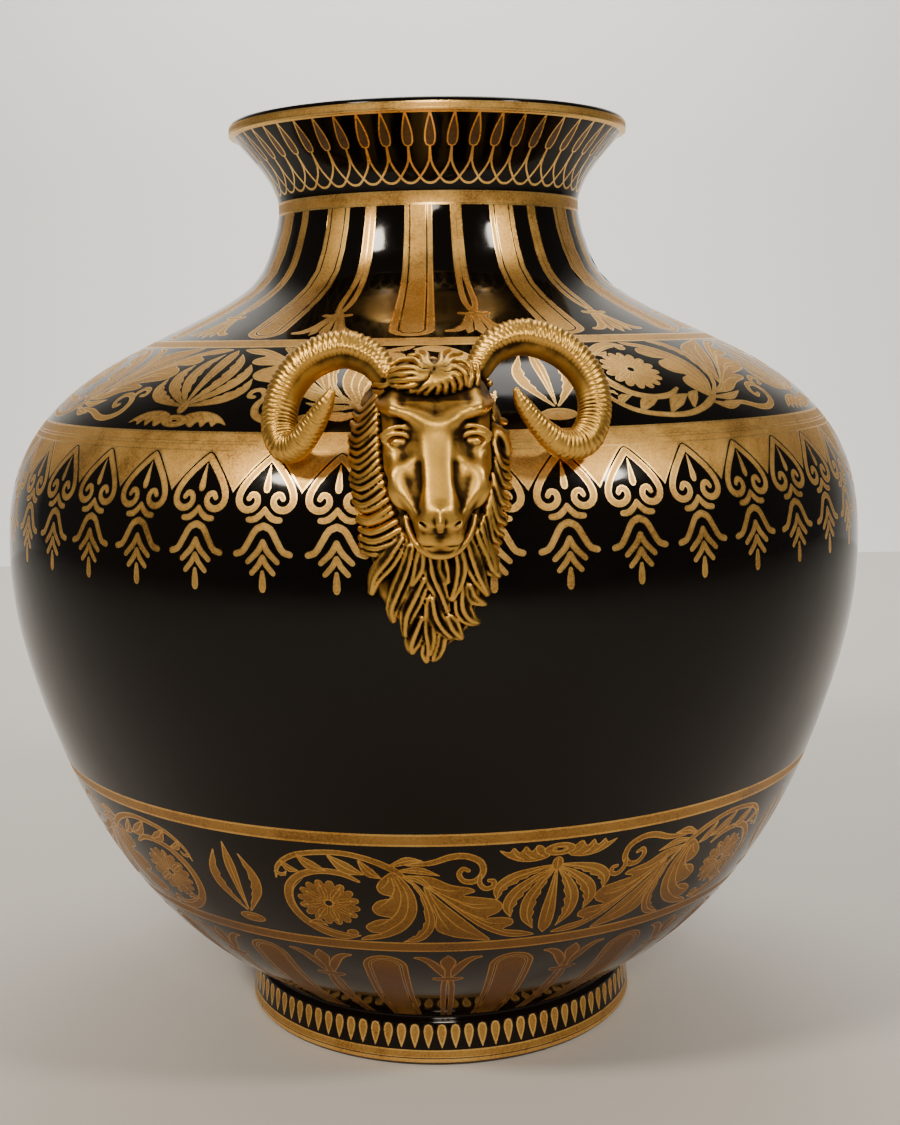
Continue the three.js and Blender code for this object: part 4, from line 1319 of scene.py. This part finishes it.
def shape_mane(clay):
    # Bed that the locks lie on, from the vase up to just under them
    where, x, y, z = clay.window((-32, -204, 199), (31, -139, 304))
    low, high = mane_bounds(z)
    middle, half = (low + high) / 2, np.maximum((high - low) / 2 - np.interp(z, [232, 246], [2.6, 1.3]), 0.5)
    q = np.abs(x - middle) / half
    crown = np.interp(z, [284, 296, 304], [0, 3, 8])
    front = mane_y(x, z, np.clip(q, 0, 1)) + 1.9 + crown
    distance = -smooth_min(-(front - y) * 0.8, -(q - 1) * half, 2.0)
    distance = -smooth_min(-distance, -(z - 303.5), 2.0)
    clay.add(where, distance, 0.8)

    edge = np.array(FACE_EDGE, float)
    left_edge, right_edge = edge[:9], edge[10:]
    chance = np.random.RandomState(21)
    for i in range(LEFT_RIDGES):
        share = i / (LEFT_RIDGES - 1)
        z0 = 294 - 50 * share + chance.uniform(-0.3, 0.3)
        x0 = np.interp(z0, left_edge[::-1, 1], left_edge[::-1, 0]) - 0.2
        drop = 5.8 - 2.4 * share + chance.uniform(-0.7, 0.7)
        x1 = mane_bounds(z0 - drop)[0] + 0.4 + chance.uniform(-0.5, 0.9)
        route = ridge_route(x0, x1, z0, drop, ((0.34, 0.70), (0.7, 1.14)), 0.93)
        clay_lock(clay, route, 1.3 + chance.uniform(-0.6, 0.7), chance.uniform(0.92, 1.12))
    for i in range(RIGHT_RIDGES):
        share = i / (RIGHT_RIDGES - 1)
        z0 = 291 - 44 * share + chance.uniform(-0.4, 0.4)
        x0 = np.interp(z0, right_edge[:, 1], right_edge[:, 0]) + 0.2
        drop = 9.0 + 4.5 * share + chance.uniform(-0.8, 0.8)
        x1 = mane_bounds(z0 - drop)[1] - 0.3 - chance.uniform(-0.5, 0.9)
        route = ridge_route(x0, x1, z0, drop, ((0.16, 0.36), (0.46, 0.82)), 1)
        clay_lock(clay, route, 1.3 + chance.uniform(-0.6, 0.7), chance.uniform(0.84, 1.02))
    for route, strands, rise in BEARD:
        def depth(x, z, t, rise=rise):
            return mane_front(x, z, 0.9 + rise * (1 - 0.45 * t))

        lock(clay, route, strands, BEARD_GAP, BEARD_RADIUS, depth)


def clay_lock(clay, route, proud, radius):
    """Single ridge of hair, with a thicker one behind it that closes the grooves."""
    def front(x, z, t):
        return mane_front(x, z, proud * (1 - 0.4 * t))

    def behind(x, z, t):
        return front(x, z, t) + radius * 1.3

    lock(clay, route, 1, 0, radius, front)
    lock(clay, route, 1, 0, radius * 1.5, behind)


def shape_forelock(clay):
    """Whorl of grooved hair over the brow, on a low mound."""
    clay.ellipsoid((-0.5, -183, 298.2), (15.0, 11.6, 7.4), 1.5)
    for route in FORELOCK:
        lock(clay, from_whorl(route), 1, 0, 0.98, forelock_y)


CROWN_MIDDLE = 280.0
CROWN_HALF = 29.0
CROWN_POWER = 2.4


def crown_height(y):
    """Height of the crown above its middle, which falls a little towards the vase."""
    return 22.5 - 0.09 * (y + 186)


def shape_crown(clay):
    """Rounds the head behind the forelock, and lays plain ridges of hair over it."""
    where, x, y, z = clay.window((-36, -188, 282), (35, -139, 311))
    up = np.clip((z - CROWN_MIDDLE) / crown_height(y), 0, 9)
    beyond = ((np.abs(x / CROWN_HALF) ** CROWN_POWER + up ** CROWN_POWER) ** (1 / CROWN_POWER) - 1) * 22
    beyond = beyond - 7 * (1 - np.clip((y + 188) / 9, 0, 1))
    clay.field[where] = np.maximum(clay.field[where], beyond.astype(np.float32))
    for x in np.linspace(-20, 20, 15):
        y = np.linspace(-186 + 14 * (x / 20) ** 2, -141, 24)
        wave = x + 0.9 * np.sin((y + 187) * 0.13 + x) + 0.06 * x * (y + 187) / 46
        fall = (1 - np.abs(wave / CROWN_HALF) ** CROWN_POWER) ** (1 / CROWN_POWER)
        z = CROWN_MIDDLE + crown_height(y) * fall
        clay.strand(np.stack([wave, y, z - 0.5], 1), np.full(24, 1.35), 0.3)


def shape_ear(clay):
    """The right ear shows past the mane below the horn."""
    clay.ellipsoid((23.6, -185.0, 276.6), (3.4, 3.6, 6.4), 0.8, -20)
    clay.ellipsoid((24.2, -189.4, 276.0), (1.5, 2.2, 4.2), 1.0, -20, carve=True)


HORN_RIGHT = (
    (12, -176, 294, 4.6), (16.8, -176, 301, 5.4), (22.5, -173, 308.2, 6.5), (33, -170, 311.3, 7.0),
    (46, -168, 307.0, 7.0), (55, -169, 297, 6.4), (57, -173, 285.5, 6.0), (53, -179, 276.8, 5.9),
    (45, -184, 275.6, 4.9), (37.4, -188, 281.5, 3.7), (31, -191, 290, 2.6), (28.6, -192, 295.0, 1.1),
)
HORN_LEFT = (
    (-11, -176, 292, 4.6), (-16.5, -176, 299, 5.6), (-22, -173, 305, 6.8), (-31.5, -170, 308, 7.3),
    (-43.5, -168, 303.6, 7.2), (-51.2, -169, 294, 6.7), (-53.6, -173, 282.5, 6.3), (-51, -179, 275.8, 5.6),
    (-45.6, -184, 277.8, 4.9), (-40.2, -188, 284.6, 4.0), (-36, -191, 291, 2.8), (-33.6, -192, 295.4, 1.3),
)
RIB_PITCH = 1.65
RIB_SAMPLES = 4
HORN_SIDES = 36
HORN_KEEL = 76
HORN_BACK = 250
RIB_STEP = (58, 200)
HORN_DEPTH_SHARE = 0.84


def horn_mesh(path, outward):
    """Curled horn with ribs across its outer face and a smooth hollow inner face."""
    dense = smooth_curve(path, 600)
    run = np.concatenate([[0], np.cumsum(np.linalg.norm(np.diff(dense[:, :3], axis=0), axis=1))])
    ribs = int(run[-1] / RIB_PITCH)
    rings = ribs * RIB_SAMPLES
    at = np.linspace(0, run[-1], rings + 1)
    centre = np.stack([np.interp(at, run, dense[:, i]) for i in range(3)], 1)
    half = np.interp(at, run, dense[:, 3])
    tangent = np.gradient(centre, axis=0)
    tangent /= np.linalg.norm(tangent, axis=1)[:, None]
    out = np.cross(tangent, np.array([0, -1.0, 0])) * outward
    out /= np.linalg.norm(out, axis=1)[:, None]
    front = np.cross(out, tangent) * outward
    front /= np.linalg.norm(front, axis=1)[:, None]
    front *= np.sign(-front[:, 1:2])
    share = at / run[-1]
    phase = at / run[-1] * ribs
    jitter = np.interp(phase, np.arange(ribs + 2), RANDOM.uniform(-0.22, 0.22, ribs + 2))
    strength = np.interp(phase, np.arange(ribs + 2), RANDOM.uniform(0.75, 1.2, ribs + 2))
    vertices = []
    for k in range(HORN_SIDES):
        phi = 2 * math.pi * k / HORN_SIDES
        degrees = math.degrees(phi)
        keel = math.exp(-((degrees - HORN_KEEL) / 7) ** 2)
        rise = np.clip((degrees - HORN_KEEL - 4) / 14, 0, 1)
        inner = float(rise * np.clip((HORN_BACK - degrees) / 30, 0, 1))
        round_inside = (degrees - HORN_KEEL) / (HORN_BACK - HORN_KEEL)
        bowl = inner * max(0.0, math.sin(round_inside * math.pi)) ** 0.6
        slant = 0.55 * math.sin(phi) + (0.5 if RIB_STEP[0] < degrees < RIB_STEP[1] else 0)
        rib = np.abs(np.sin(math.pi * (phase + jitter + slant))) ** 0.7 - 0.55
        cover = (1 - inner) + inner * np.clip((share - 0.52) / 0.12, 0, 1)
        ends = np.clip(np.minimum(share / 0.06, (1 - share) / 0.04), 0, 1)
        swell = 1 + rib * 0.16 * cover * strength * ends
        swell += (0.13 * keel - 0.24 * bowl) * np.clip(1.15 - 1.3 * share, 0.1, 1)
        wide = math.cos(phi) * half[:, None] * out
        deep = math.sin(phi) * (half[:, None] * HORN_DEPTH_SHARE) * front
        vertices.append(centre + swell[:, None] * (wide + deep))
    vertices = np.stack(vertices, 1).reshape(-1, 3)
    vertices = np.vstack([vertices, centre[0], centre[-1] + tangent[-1] * 0.6])
    faces = []
    sides = HORN_SIDES
    for i in range(rings):
        for k in range(sides):
            a, b = i * sides + k, i * sides + (k + 1) % sides
            faces.append((a, b, b + sides, a + sides))
    root, tip = len(vertices) - 2, len(vertices) - 1
    for k in range(sides):
        faces.append((root, (k + 1) % sides, k))
        faces.append((tip, rings * sides + k, rings * sides + (k + 1) % sides))
    return vertices, faces


HAIR_PATINA = 0.34
BROW_HEIGHT = 291.5
HORN_REACH = 1.25
HORN_START = 0.05
INNER_END = 0.75


def mark_patina_and_shade(thing, name):
    """Marks where the bronze is kept dark: patina on the hair more than the face, and patina with painted
    shade on the horns' inner face.
    """
    paths = [smooth_curve(path, 300) for path in (HORN_RIGHT, HORN_LEFT)]
    tree = KDTree(sum(len(path) for path in paths))
    found = []
    for path, outward in zip(paths, (-1, 1)):
        way = np.gradient(path[:, :3], axis=0)
        out = np.cross(way, np.array([0, -1.0, 0])) * outward
        out /= np.linalg.norm(out, axis=1)[:, None]
        for i, point in enumerate(path):
            tree.insert(point[:3], len(found))
            found.append((point[:3], out[i], point[3], i / (len(path) - 1)))
    tree.balance()
    points = np.array([vertex.co for vertex in thing.data.vertices]) / MM
    bare = within(points[:, [0, 2]], np.array(FACE_EDGE)) & (points[:, 2] < BROW_HEIGHT)
    values = np.where(bare, 0, HAIR_PATINA).astype(np.float32)
    for vertex in thing.data.vertices:
        place = np.array(vertex.co) / MM
        index, distance = tree.find(place)[1:]
        centre, out, half, share = found[index]
        if distance < half * HORN_REACH and share > HORN_START:
            values[vertex.index] = 0.0
        # The horns' inner face, turned from the light: patina together with painted shade.
        if distance < half * HORN_REACH and HORN_START < share < INNER_END:
            across = np.dot(place - centre, out) / half
            fade = min(1.0, (INNER_END - share) / 0.2)
            values[vertex.index] = fade * min(1.0, max(0.0, (0.17 - across) / 0.2))
    attribute = thing.data.attributes.new(name, "FLOAT", "POINT")
    attribute.data.foreach_set("value", values)


def facing_out(vertices, faces):
    """Turns all the faces round if their normals point into the solid."""
    volume = 0.0
    for f in faces:
        for i in range(1, len(f) - 1):
            volume += np.dot(vertices[f[0]], np.cross(vertices[f[i]], vertices[f[i + 1]]))
    return faces if volume > 0 else [tuple(reversed(f)) for f in faces]


def hollow_attribute(thing, rounds, name, reach):
    """How far each vertex lies in a hollow (above 0.5) or on a ridge (below), as an attribute."""
    mesh = thing.data
    count = len(mesh.vertices)
    position = np.zeros(count * 3)
    mesh.vertices.foreach_get("co", position)
    position = position.reshape(-1, 3) / MM
    normal = np.zeros(count * 3)
    mesh.vertices.foreach_get("normal", normal)
    normal = normal.reshape(-1, 3)
    edge = np.zeros(len(mesh.edges) * 2, np.int64)
    mesh.edges.foreach_get("vertices", edge)
    edge = edge.reshape(-1, 2)
    one, two = np.concatenate([edge[:, 0], edge[:, 1]]), np.concatenate([edge[:, 1], edge[:, 0]])
    degree = np.maximum(np.bincount(one, minlength=count), 1)
    smooth = position.copy()
    for _ in range(rounds):
        smooth = np.stack([np.bincount(one, weights=smooth[two, i], minlength=count) / degree
                           for i in range(3)], 1)
    depth = np.einsum("ij,ij->i", smooth - position, normal)
    value = np.clip(0.5 + depth / reach, 0, 1)
    attribute = mesh.attributes.new(name, "FLOAT", "POINT")
    attribute.data.foreach_set("value", value.astype(np.float32))


def make_ram(bronze):
    clay = Clay(HEAD_LOW, HEAD_HIGH, CLAY_STEP)
    shape_face(clay)
    shape_mane(clay)
    shape_features(clay)
    shape_crown(clay)
    shape_forelock(clay)
    shape_ear(clay)
    x, y, z = clay.window(HEAD_LOW, HEAD_HIGH)[1:]
    vase = outer_radius(z) + CLEARANCE - np.sqrt(x ** 2 + y ** 2)
    clay.field = np.maximum(clay.field, vase.astype(np.float32))
    for axis in range(3):
        rim = [slice(None)] * 3
        for end in (0, -1):
            rim[axis] = end
            clay.field[tuple(rim)] = np.maximum(clay.field[tuple(rim)], 0.5)
    vertices, faces = clay.mesh()
    head = new_object("rams_head_bronze", vertices, faces, [bronze])
    triangles = len(faces) * 2
    if triangles > HEAD_TRIANGLES:
        fewer = head.modifiers.new("fewer", "DECIMATE")
        fewer.ratio = HEAD_TRIANGLES / triangles
        apply_modifiers(head)
    for path, outward in ((HORN_RIGHT, -1), (HORN_LEFT, 1)):
        points, sides = horn_mesh(path, outward)
        horn = new_object("horn", points, facing_out(points, sides), [bronze])
        union = head.modifiers.new("horn", "BOOLEAN")
        union.operation = "UNION"
        union.object = horn
        union.solver = "MANIFOLD"
        apply_modifiers(head)
        bpy.data.objects.remove(horn)
    head.data.polygons.foreach_set("use_smooth", [True] * len(head.data.polygons))
    hollow_attribute(head, 8, "hollow", 0.8)
    hollow_attribute(head, 60, "deep_hollow", 3.0)
    mark_patina_and_shade(head, "dark_patina_and_shade")
    return head


# Materials

def node_maker(material):
    material.use_nodes = True
    tree = material.node_tree
    shader = tree.nodes["Principled BSDF"]

    def make(kind, inputs=(), **settings):
        node = tree.nodes.new(kind)
        for key, value in settings.items():
            setattr(node, key, value)
        for key, value in dict(inputs).items():
            if isinstance(value, bpy.types.NodeSocket):
                tree.links.new(value, node.inputs[key])
            else:
                node.inputs[key].default_value = value
        return node

    return tree, shader, make


def noise(make, place, scale, detail, roughness=0.5):
    inputs = {"Vector": place, "Scale": scale, "Detail": detail, "Roughness": roughness}
    return make("ShaderNodeTexNoise", inputs).outputs["Fac"]


def spread(make, value, low, high, bottom=0.0, top=1.0):
    """The value with its range from low to high spread over bottom to top."""
    inputs = {"Value": value, "From Min": low, "From Max": high, "To Min": bottom, "To Max": top}
    return make("ShaderNodeMapRange", inputs).outputs[0]


def bumped(tree, shader, make, height, strength, distance):
    bump = make("ShaderNodeBump", {"Height": height, "Strength": strength, "Distance": distance})
    tree.links.new(bump.outputs[0], shader.inputs["Normal"])


def bronze_material():
    """Cast bronze with a dark patina in its hollows and on the hair, and patina with painted shade inside the
    horns.
    """
    material = bpy.data.materials.new("aged_bronze")
    tree, shader, make = node_maker(material)
    hollow = make("ShaderNodeAttribute", attribute_name="hollow").outputs["Fac"]
    deep = make("ShaderNodeAttribute", attribute_name="deep_hollow").outputs["Fac"]
    place = make("ShaderNodeTexCoord").outputs["Object"]
    cloud = noise(make, place, 90.0, 5.0, 0.6)
    grain = noise(make, place, 900.0, 3.0, 0.6)
    kept = make("ShaderNodeAttribute", attribute_name="dark_patina_and_shade").outputs["Fac"]
    small = make("ShaderNodeMath", {0: hollow, 1: 2.0}, operation="MULTIPLY")
    large = make("ShaderNodeMath", {0: deep, 1: 0.5, 2: small.outputs[0]}, operation="MULTIPLY_ADD")
    # Patina on the hair, and patina with painted shade inside the horns.
    both = make("ShaderNodeMath", {0: kept, 1: 0.8, 2: large.outputs[0]}, operation="MULTIPLY_ADD")
    darkness_of_patina_and_shade = make("ShaderNodeMath", {0: both.outputs[0], 1: cloud}, operation="ADD")
    scaled = spread(make, darkness_of_patina_and_shade.outputs[0], 1.24, 2.56)
    ramp = make("ShaderNodeValToRGB", {"Fac": scaled})
    stops = ((0.0, (0.70, 0.40, 0.085)), (0.34, (0.47, 0.27, 0.055)), (0.50, (0.20, 0.11, 0.025)),
             (0.64, (0.045, 0.024, 0.008)), (1.0, (0.006, 0.004, 0.002)))
    elements = ramp.color_ramp.elements
    while len(elements) < len(stops):
        elements.new(0.5)
    for element, (position, colour) in zip(elements, stops):
        element.position = position
        element.color = (*colour, 1)
    tree.links.new(ramp.outputs["Color"], shader.inputs["Base Color"])
    shader.inputs["Metallic"].default_value = 1.0
    tree.links.new(spread(make, scaled, 0.0, 1.0, 0.38, 0.7), shader.inputs["Roughness"])
    bumped(tree, shader, make, grain, 0.25, 0.0003)
    return material


def glaze_material():
    """Black glaze with faint brown clouds, fine scratches, a slight orange-peel, and a painted brown
    reflection towards the bottom.
    """
    material = bpy.data.materials.new("black_glaze")
    tree, shader, make = node_maker(material)
    place = make("ShaderNodeTexCoord").outputs["Object"]
    cloud = noise(make, place, 14.0, 4.0)
    tint = make("ShaderNodeMix", {"Factor": cloud}, data_type="RGBA")
    tint.inputs["A"].default_value = (0.0014, 0.0011, 0.0009, 1)
    tint.inputs["B"].default_value = (0.0042, 0.0028, 0.0018, 1)
    # Painted reflection: the glaze turns brown towards the bottom, as if it reflected a warm room below.
    height = make("ShaderNodeSeparateXYZ", {"Vector": place}).outputs["Z"]
    low = spread(make, height, 0.22, 0.08)
    brown = make("ShaderNodeMix", {"Factor": low, "A": tint.outputs["Result"]}, data_type="RGBA")
    brown.inputs["B"].default_value = (0.0065, 0.0024, 0.0009, 1)
    tree.links.new(brown.outputs["Result"], shader.inputs["Base Color"])
    smear = noise(make, place, 60.0, 5.0, 0.7)
    tree.links.new(spread(make, smear, 0.3, 0.75, 0.05, 0.17), shader.inputs["Roughness"])
    shader.inputs["Specular IOR Level"].default_value = 0.2
    bumped(tree, shader, make, noise(make, place, 55.0, 2.0), 0.12, 0.0005)
    return material


def gilt_material(name, rubbed, sound, bright, shade_tint, rough_low, rough_high, metallic):
    """Burnt gold on the glaze: colour clouds, brush grain, and painted shade that darkens and browns it on
    the vase's lower half.
    """
    material = bpy.data.materials.new(name)
    tree, shader, make = node_maker(material)
    place = make("ShaderNodeTexCoord").outputs["Object"]
    cloud = noise(make, place, 45.0, 5.0, 0.65)
    grain = noise(make, place, 1100.0, 3.0, 0.6)
    mixed = make("ShaderNodeMath", {0: cloud, 1: grain}, operation="ADD").outputs[0]
    ramp = make("ShaderNodeValToRGB", {"Fac": spread(make, mixed, 0.72, 1.28)})
    ends = ramp.color_ramp.elements
    ends[0].position, ends[0].color = 0.0, (*rubbed, 1)
    ends[1].position, ends[1].color = 1.0, (*bright, 1)
    middle = ends.new(0.45)
    middle.color = (*sound, 1)
    # Painted shade: darker and browner towards the bottom of the vase, much less so on the foot.
    height = make("ShaderNodeSeparateXYZ", {"Vector": place}).outputs["Z"]
    foot = spread(make, height, 0.018, 0.030, 0.15)
    low = spread(make, height, 0.22, 0.06, 0.0, foot)
    lower_painted_shade = make("ShaderNodeMix", {"Factor": low, "A": ramp.outputs["Color"]}, data_type="RGBA")
    lower_painted_shade.blend_type = "MULTIPLY"
    lower_painted_shade.inputs["B"].default_value = (*shade_tint, 1)
    tree.links.new(lower_painted_shade.outputs["Result"], shader.inputs["Base Color"])
    rough = spread(make, cloud, 0.3, 0.7, rough_low, rough_high)
    tree.links.new(rough, shader.inputs["Roughness"])
    shader.inputs["Metallic"].default_value = metallic
    bumped(tree, shader, make, grain, 0.2, 0.0001)
    return material


def bare_material():
    """Unglazed foot: a warm grey body with darker specks."""
    material = bpy.data.materials.new("unglazed_foot")
    tree, shader, make = node_maker(material)
    place = make("ShaderNodeTexCoord").outputs["Object"]
    speck = noise(make, place, 400.0, 4.0)
    tint = make("ShaderNodeMix", {"Factor": speck}, data_type="RGBA")
    tint.inputs["A"].default_value = (0.14, 0.09, 0.06, 1)
    tint.inputs["B"].default_value = (0.38, 0.31, 0.25, 1)
    tree.links.new(tint.outputs["Result"], shader.inputs["Base Color"])
    shader.inputs["Roughness"].default_value = 0.85
    bumped(tree, shader, make, speck, 0.4, 0.0003)
    return material


def wall_paints():
    """Materials in the order of the paints BLACK, FILL, LINE, UMBER and BARE."""
    return [
        glaze_material(),
        # The fourth colour of each gilt tints the painted shade on the vase's lower half.
        gilt_material("matte_gilt", (0.34, 0.165, 0.035), (0.58, 0.32, 0.078), (0.74, 0.43, 0.12),
                      (0.25, 0.17, 0.075), 0.36, 0.52, 0.85),
        gilt_material("burnished_gilt", (0.66, 0.34, 0.07), (0.94, 0.56, 0.16), (1.0, 0.70, 0.25),
                      (0.40, 0.30, 0.16), 0.22, 0.38, 0.95),
        gilt_material("umber_gilt", (0.06, 0.035, 0.02), (0.11, 0.065, 0.035), (0.18, 0.11, 0.06),
                      (0.60, 0.50, 0.40), 0.3, 0.5, 0.6),
        bare_material(),
    ]


# Stage, light and camera

CAMERA_DISTANCE = 712.6
CAMERA_HEIGHT = 314.57
CAMERA_PITCH = 0.150
CAMERA_ROLL = -0.0165
FOCAL_PIXELS = 1527.69
PHOTO_WIDTH, PHOTO_HEIGHT = 900, 1125
OPTICAL_CENTRE_X = 434.2


def make_stage():
    def plain(name, colour):
        material = bpy.data.materials.new(name)
        shader = node_maker(material)[1]
        shader.inputs["Base Color"].default_value = (*colour, 1)
        shader.inputs["Roughness"].default_value = 0.7
        return material

    floor = new_object("floor", ((-3000, -2500, 0), (3000, -2500, 0), (3000, 1400, 0), (-3000, 1400, 0)),
                       ((0, 1, 2, 3),), [plain("pale_floor", (0.60, 0.575, 0.54))], False)
    steps = 16
    radius = 600
    points = [(x, 1400 + radius * math.sin(a), radius - radius * math.cos(a))
              for a in np.linspace(0, math.pi / 2, steps + 1) for x in (-3000, 3000)]
    points += [(-3000, 1400 + radius, 3000), (3000, 1400 + radius, 3000)]
    faces = [(2 * i, 2 * i + 1, 2 * i + 3, 2 * i + 2) for i in range(steps + 1)]
    backdrop = new_object("backdrop", points, faces, [plain("pale_backdrop", (0.82, 0.81, 0.79))])


def area_light(name, place, target, size, power, colour):
    light = bpy.data.lights.new(name, "AREA")
    light.shape = "ELLIPSE"
    light.size, light.size_y = size
    light.energy = power
    light.color = colour
    lamp = bpy.data.objects.new(name, light)
    lamp.location = place
    lamp.rotation_euler = (Vector(target) - Vector(place)).to_track_quat("-Z", "Y").to_euler()
    bpy.context.scene.collection.objects.link(lamp)


def make_lights():
    world = bpy.data.worlds.new("studio")
    world.use_nodes = True
    world.node_tree.nodes["Background"].inputs["Color"].default_value = (1.0, 0.97, 0.93, 1)
    world.node_tree.nodes["Background"].inputs["Strength"].default_value = 0.1
    bpy.context.scene.world = world
    target = (0, 0, 0.24)
    area_light("key", (-0.85, -0.95, 1.35), target, (0.28, 0.2), 17, (1.0, 0.89, 0.74))
    area_light("fill", (1.05, -0.85, 1.3), target, (0.24, 0.2), 12, (1.0, 0.92, 0.80))
    area_light("front", (0.04, -1.5, 0.86), target, (0.34, 0.24), 8, (1.0, 0.89, 0.74))
    area_light("top", (0.1, 0.5, 1.6), target, (1.0, 0.7), 10, (1.0, 0.96, 0.90))
    area_light("backdrop_wash", (0, 0.9, 1.5), (0, 2.0, 0.6), (2.0, 0.5), 34, (1.0, 0.98, 0.95))


def make_camera():
    data = bpy.data.cameras.new("camera")
    data.sensor_fit = "VERTICAL"
    data.sensor_height = 36
    data.lens = FOCAL_PIXELS / PHOTO_HEIGHT * 36
    data.shift_x = (PHOTO_WIDTH / 2 - OPTICAL_CENTRE_X) / PHOTO_HEIGHT
    data.clip_start = 0.05
    camera = bpy.data.objects.new("camera", data)
    turn = Matrix.Rotation(math.pi / 2 - CAMERA_PITCH, 4, "X") @ Matrix.Rotation(CAMERA_ROLL, 4, "Z")
    camera.matrix_world = Matrix.Translation((0, -CAMERA_DISTANCE * MM, CAMERA_HEIGHT * MM)) @ turn
    bpy.context.scene.collection.objects.link(camera)
    bpy.context.scene.camera = camera


make_camera()
make_stage()
make_lights()

vase = make_vase(wall_paints())
print("vase:", len(vase.data.vertices), "vertices,", len(vase.data.polygons), "faces")
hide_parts("vase_body")
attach(vase, "root")

ram = make_ram(bronze_material())
triangles = sum(len(p.vertices) - 2 for p in ram.data.polygons)
print("ram's head:", len(ram.data.vertices), "vertices,", triangles, "triangles")
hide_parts("rams_head_mount")
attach(ram, "root")
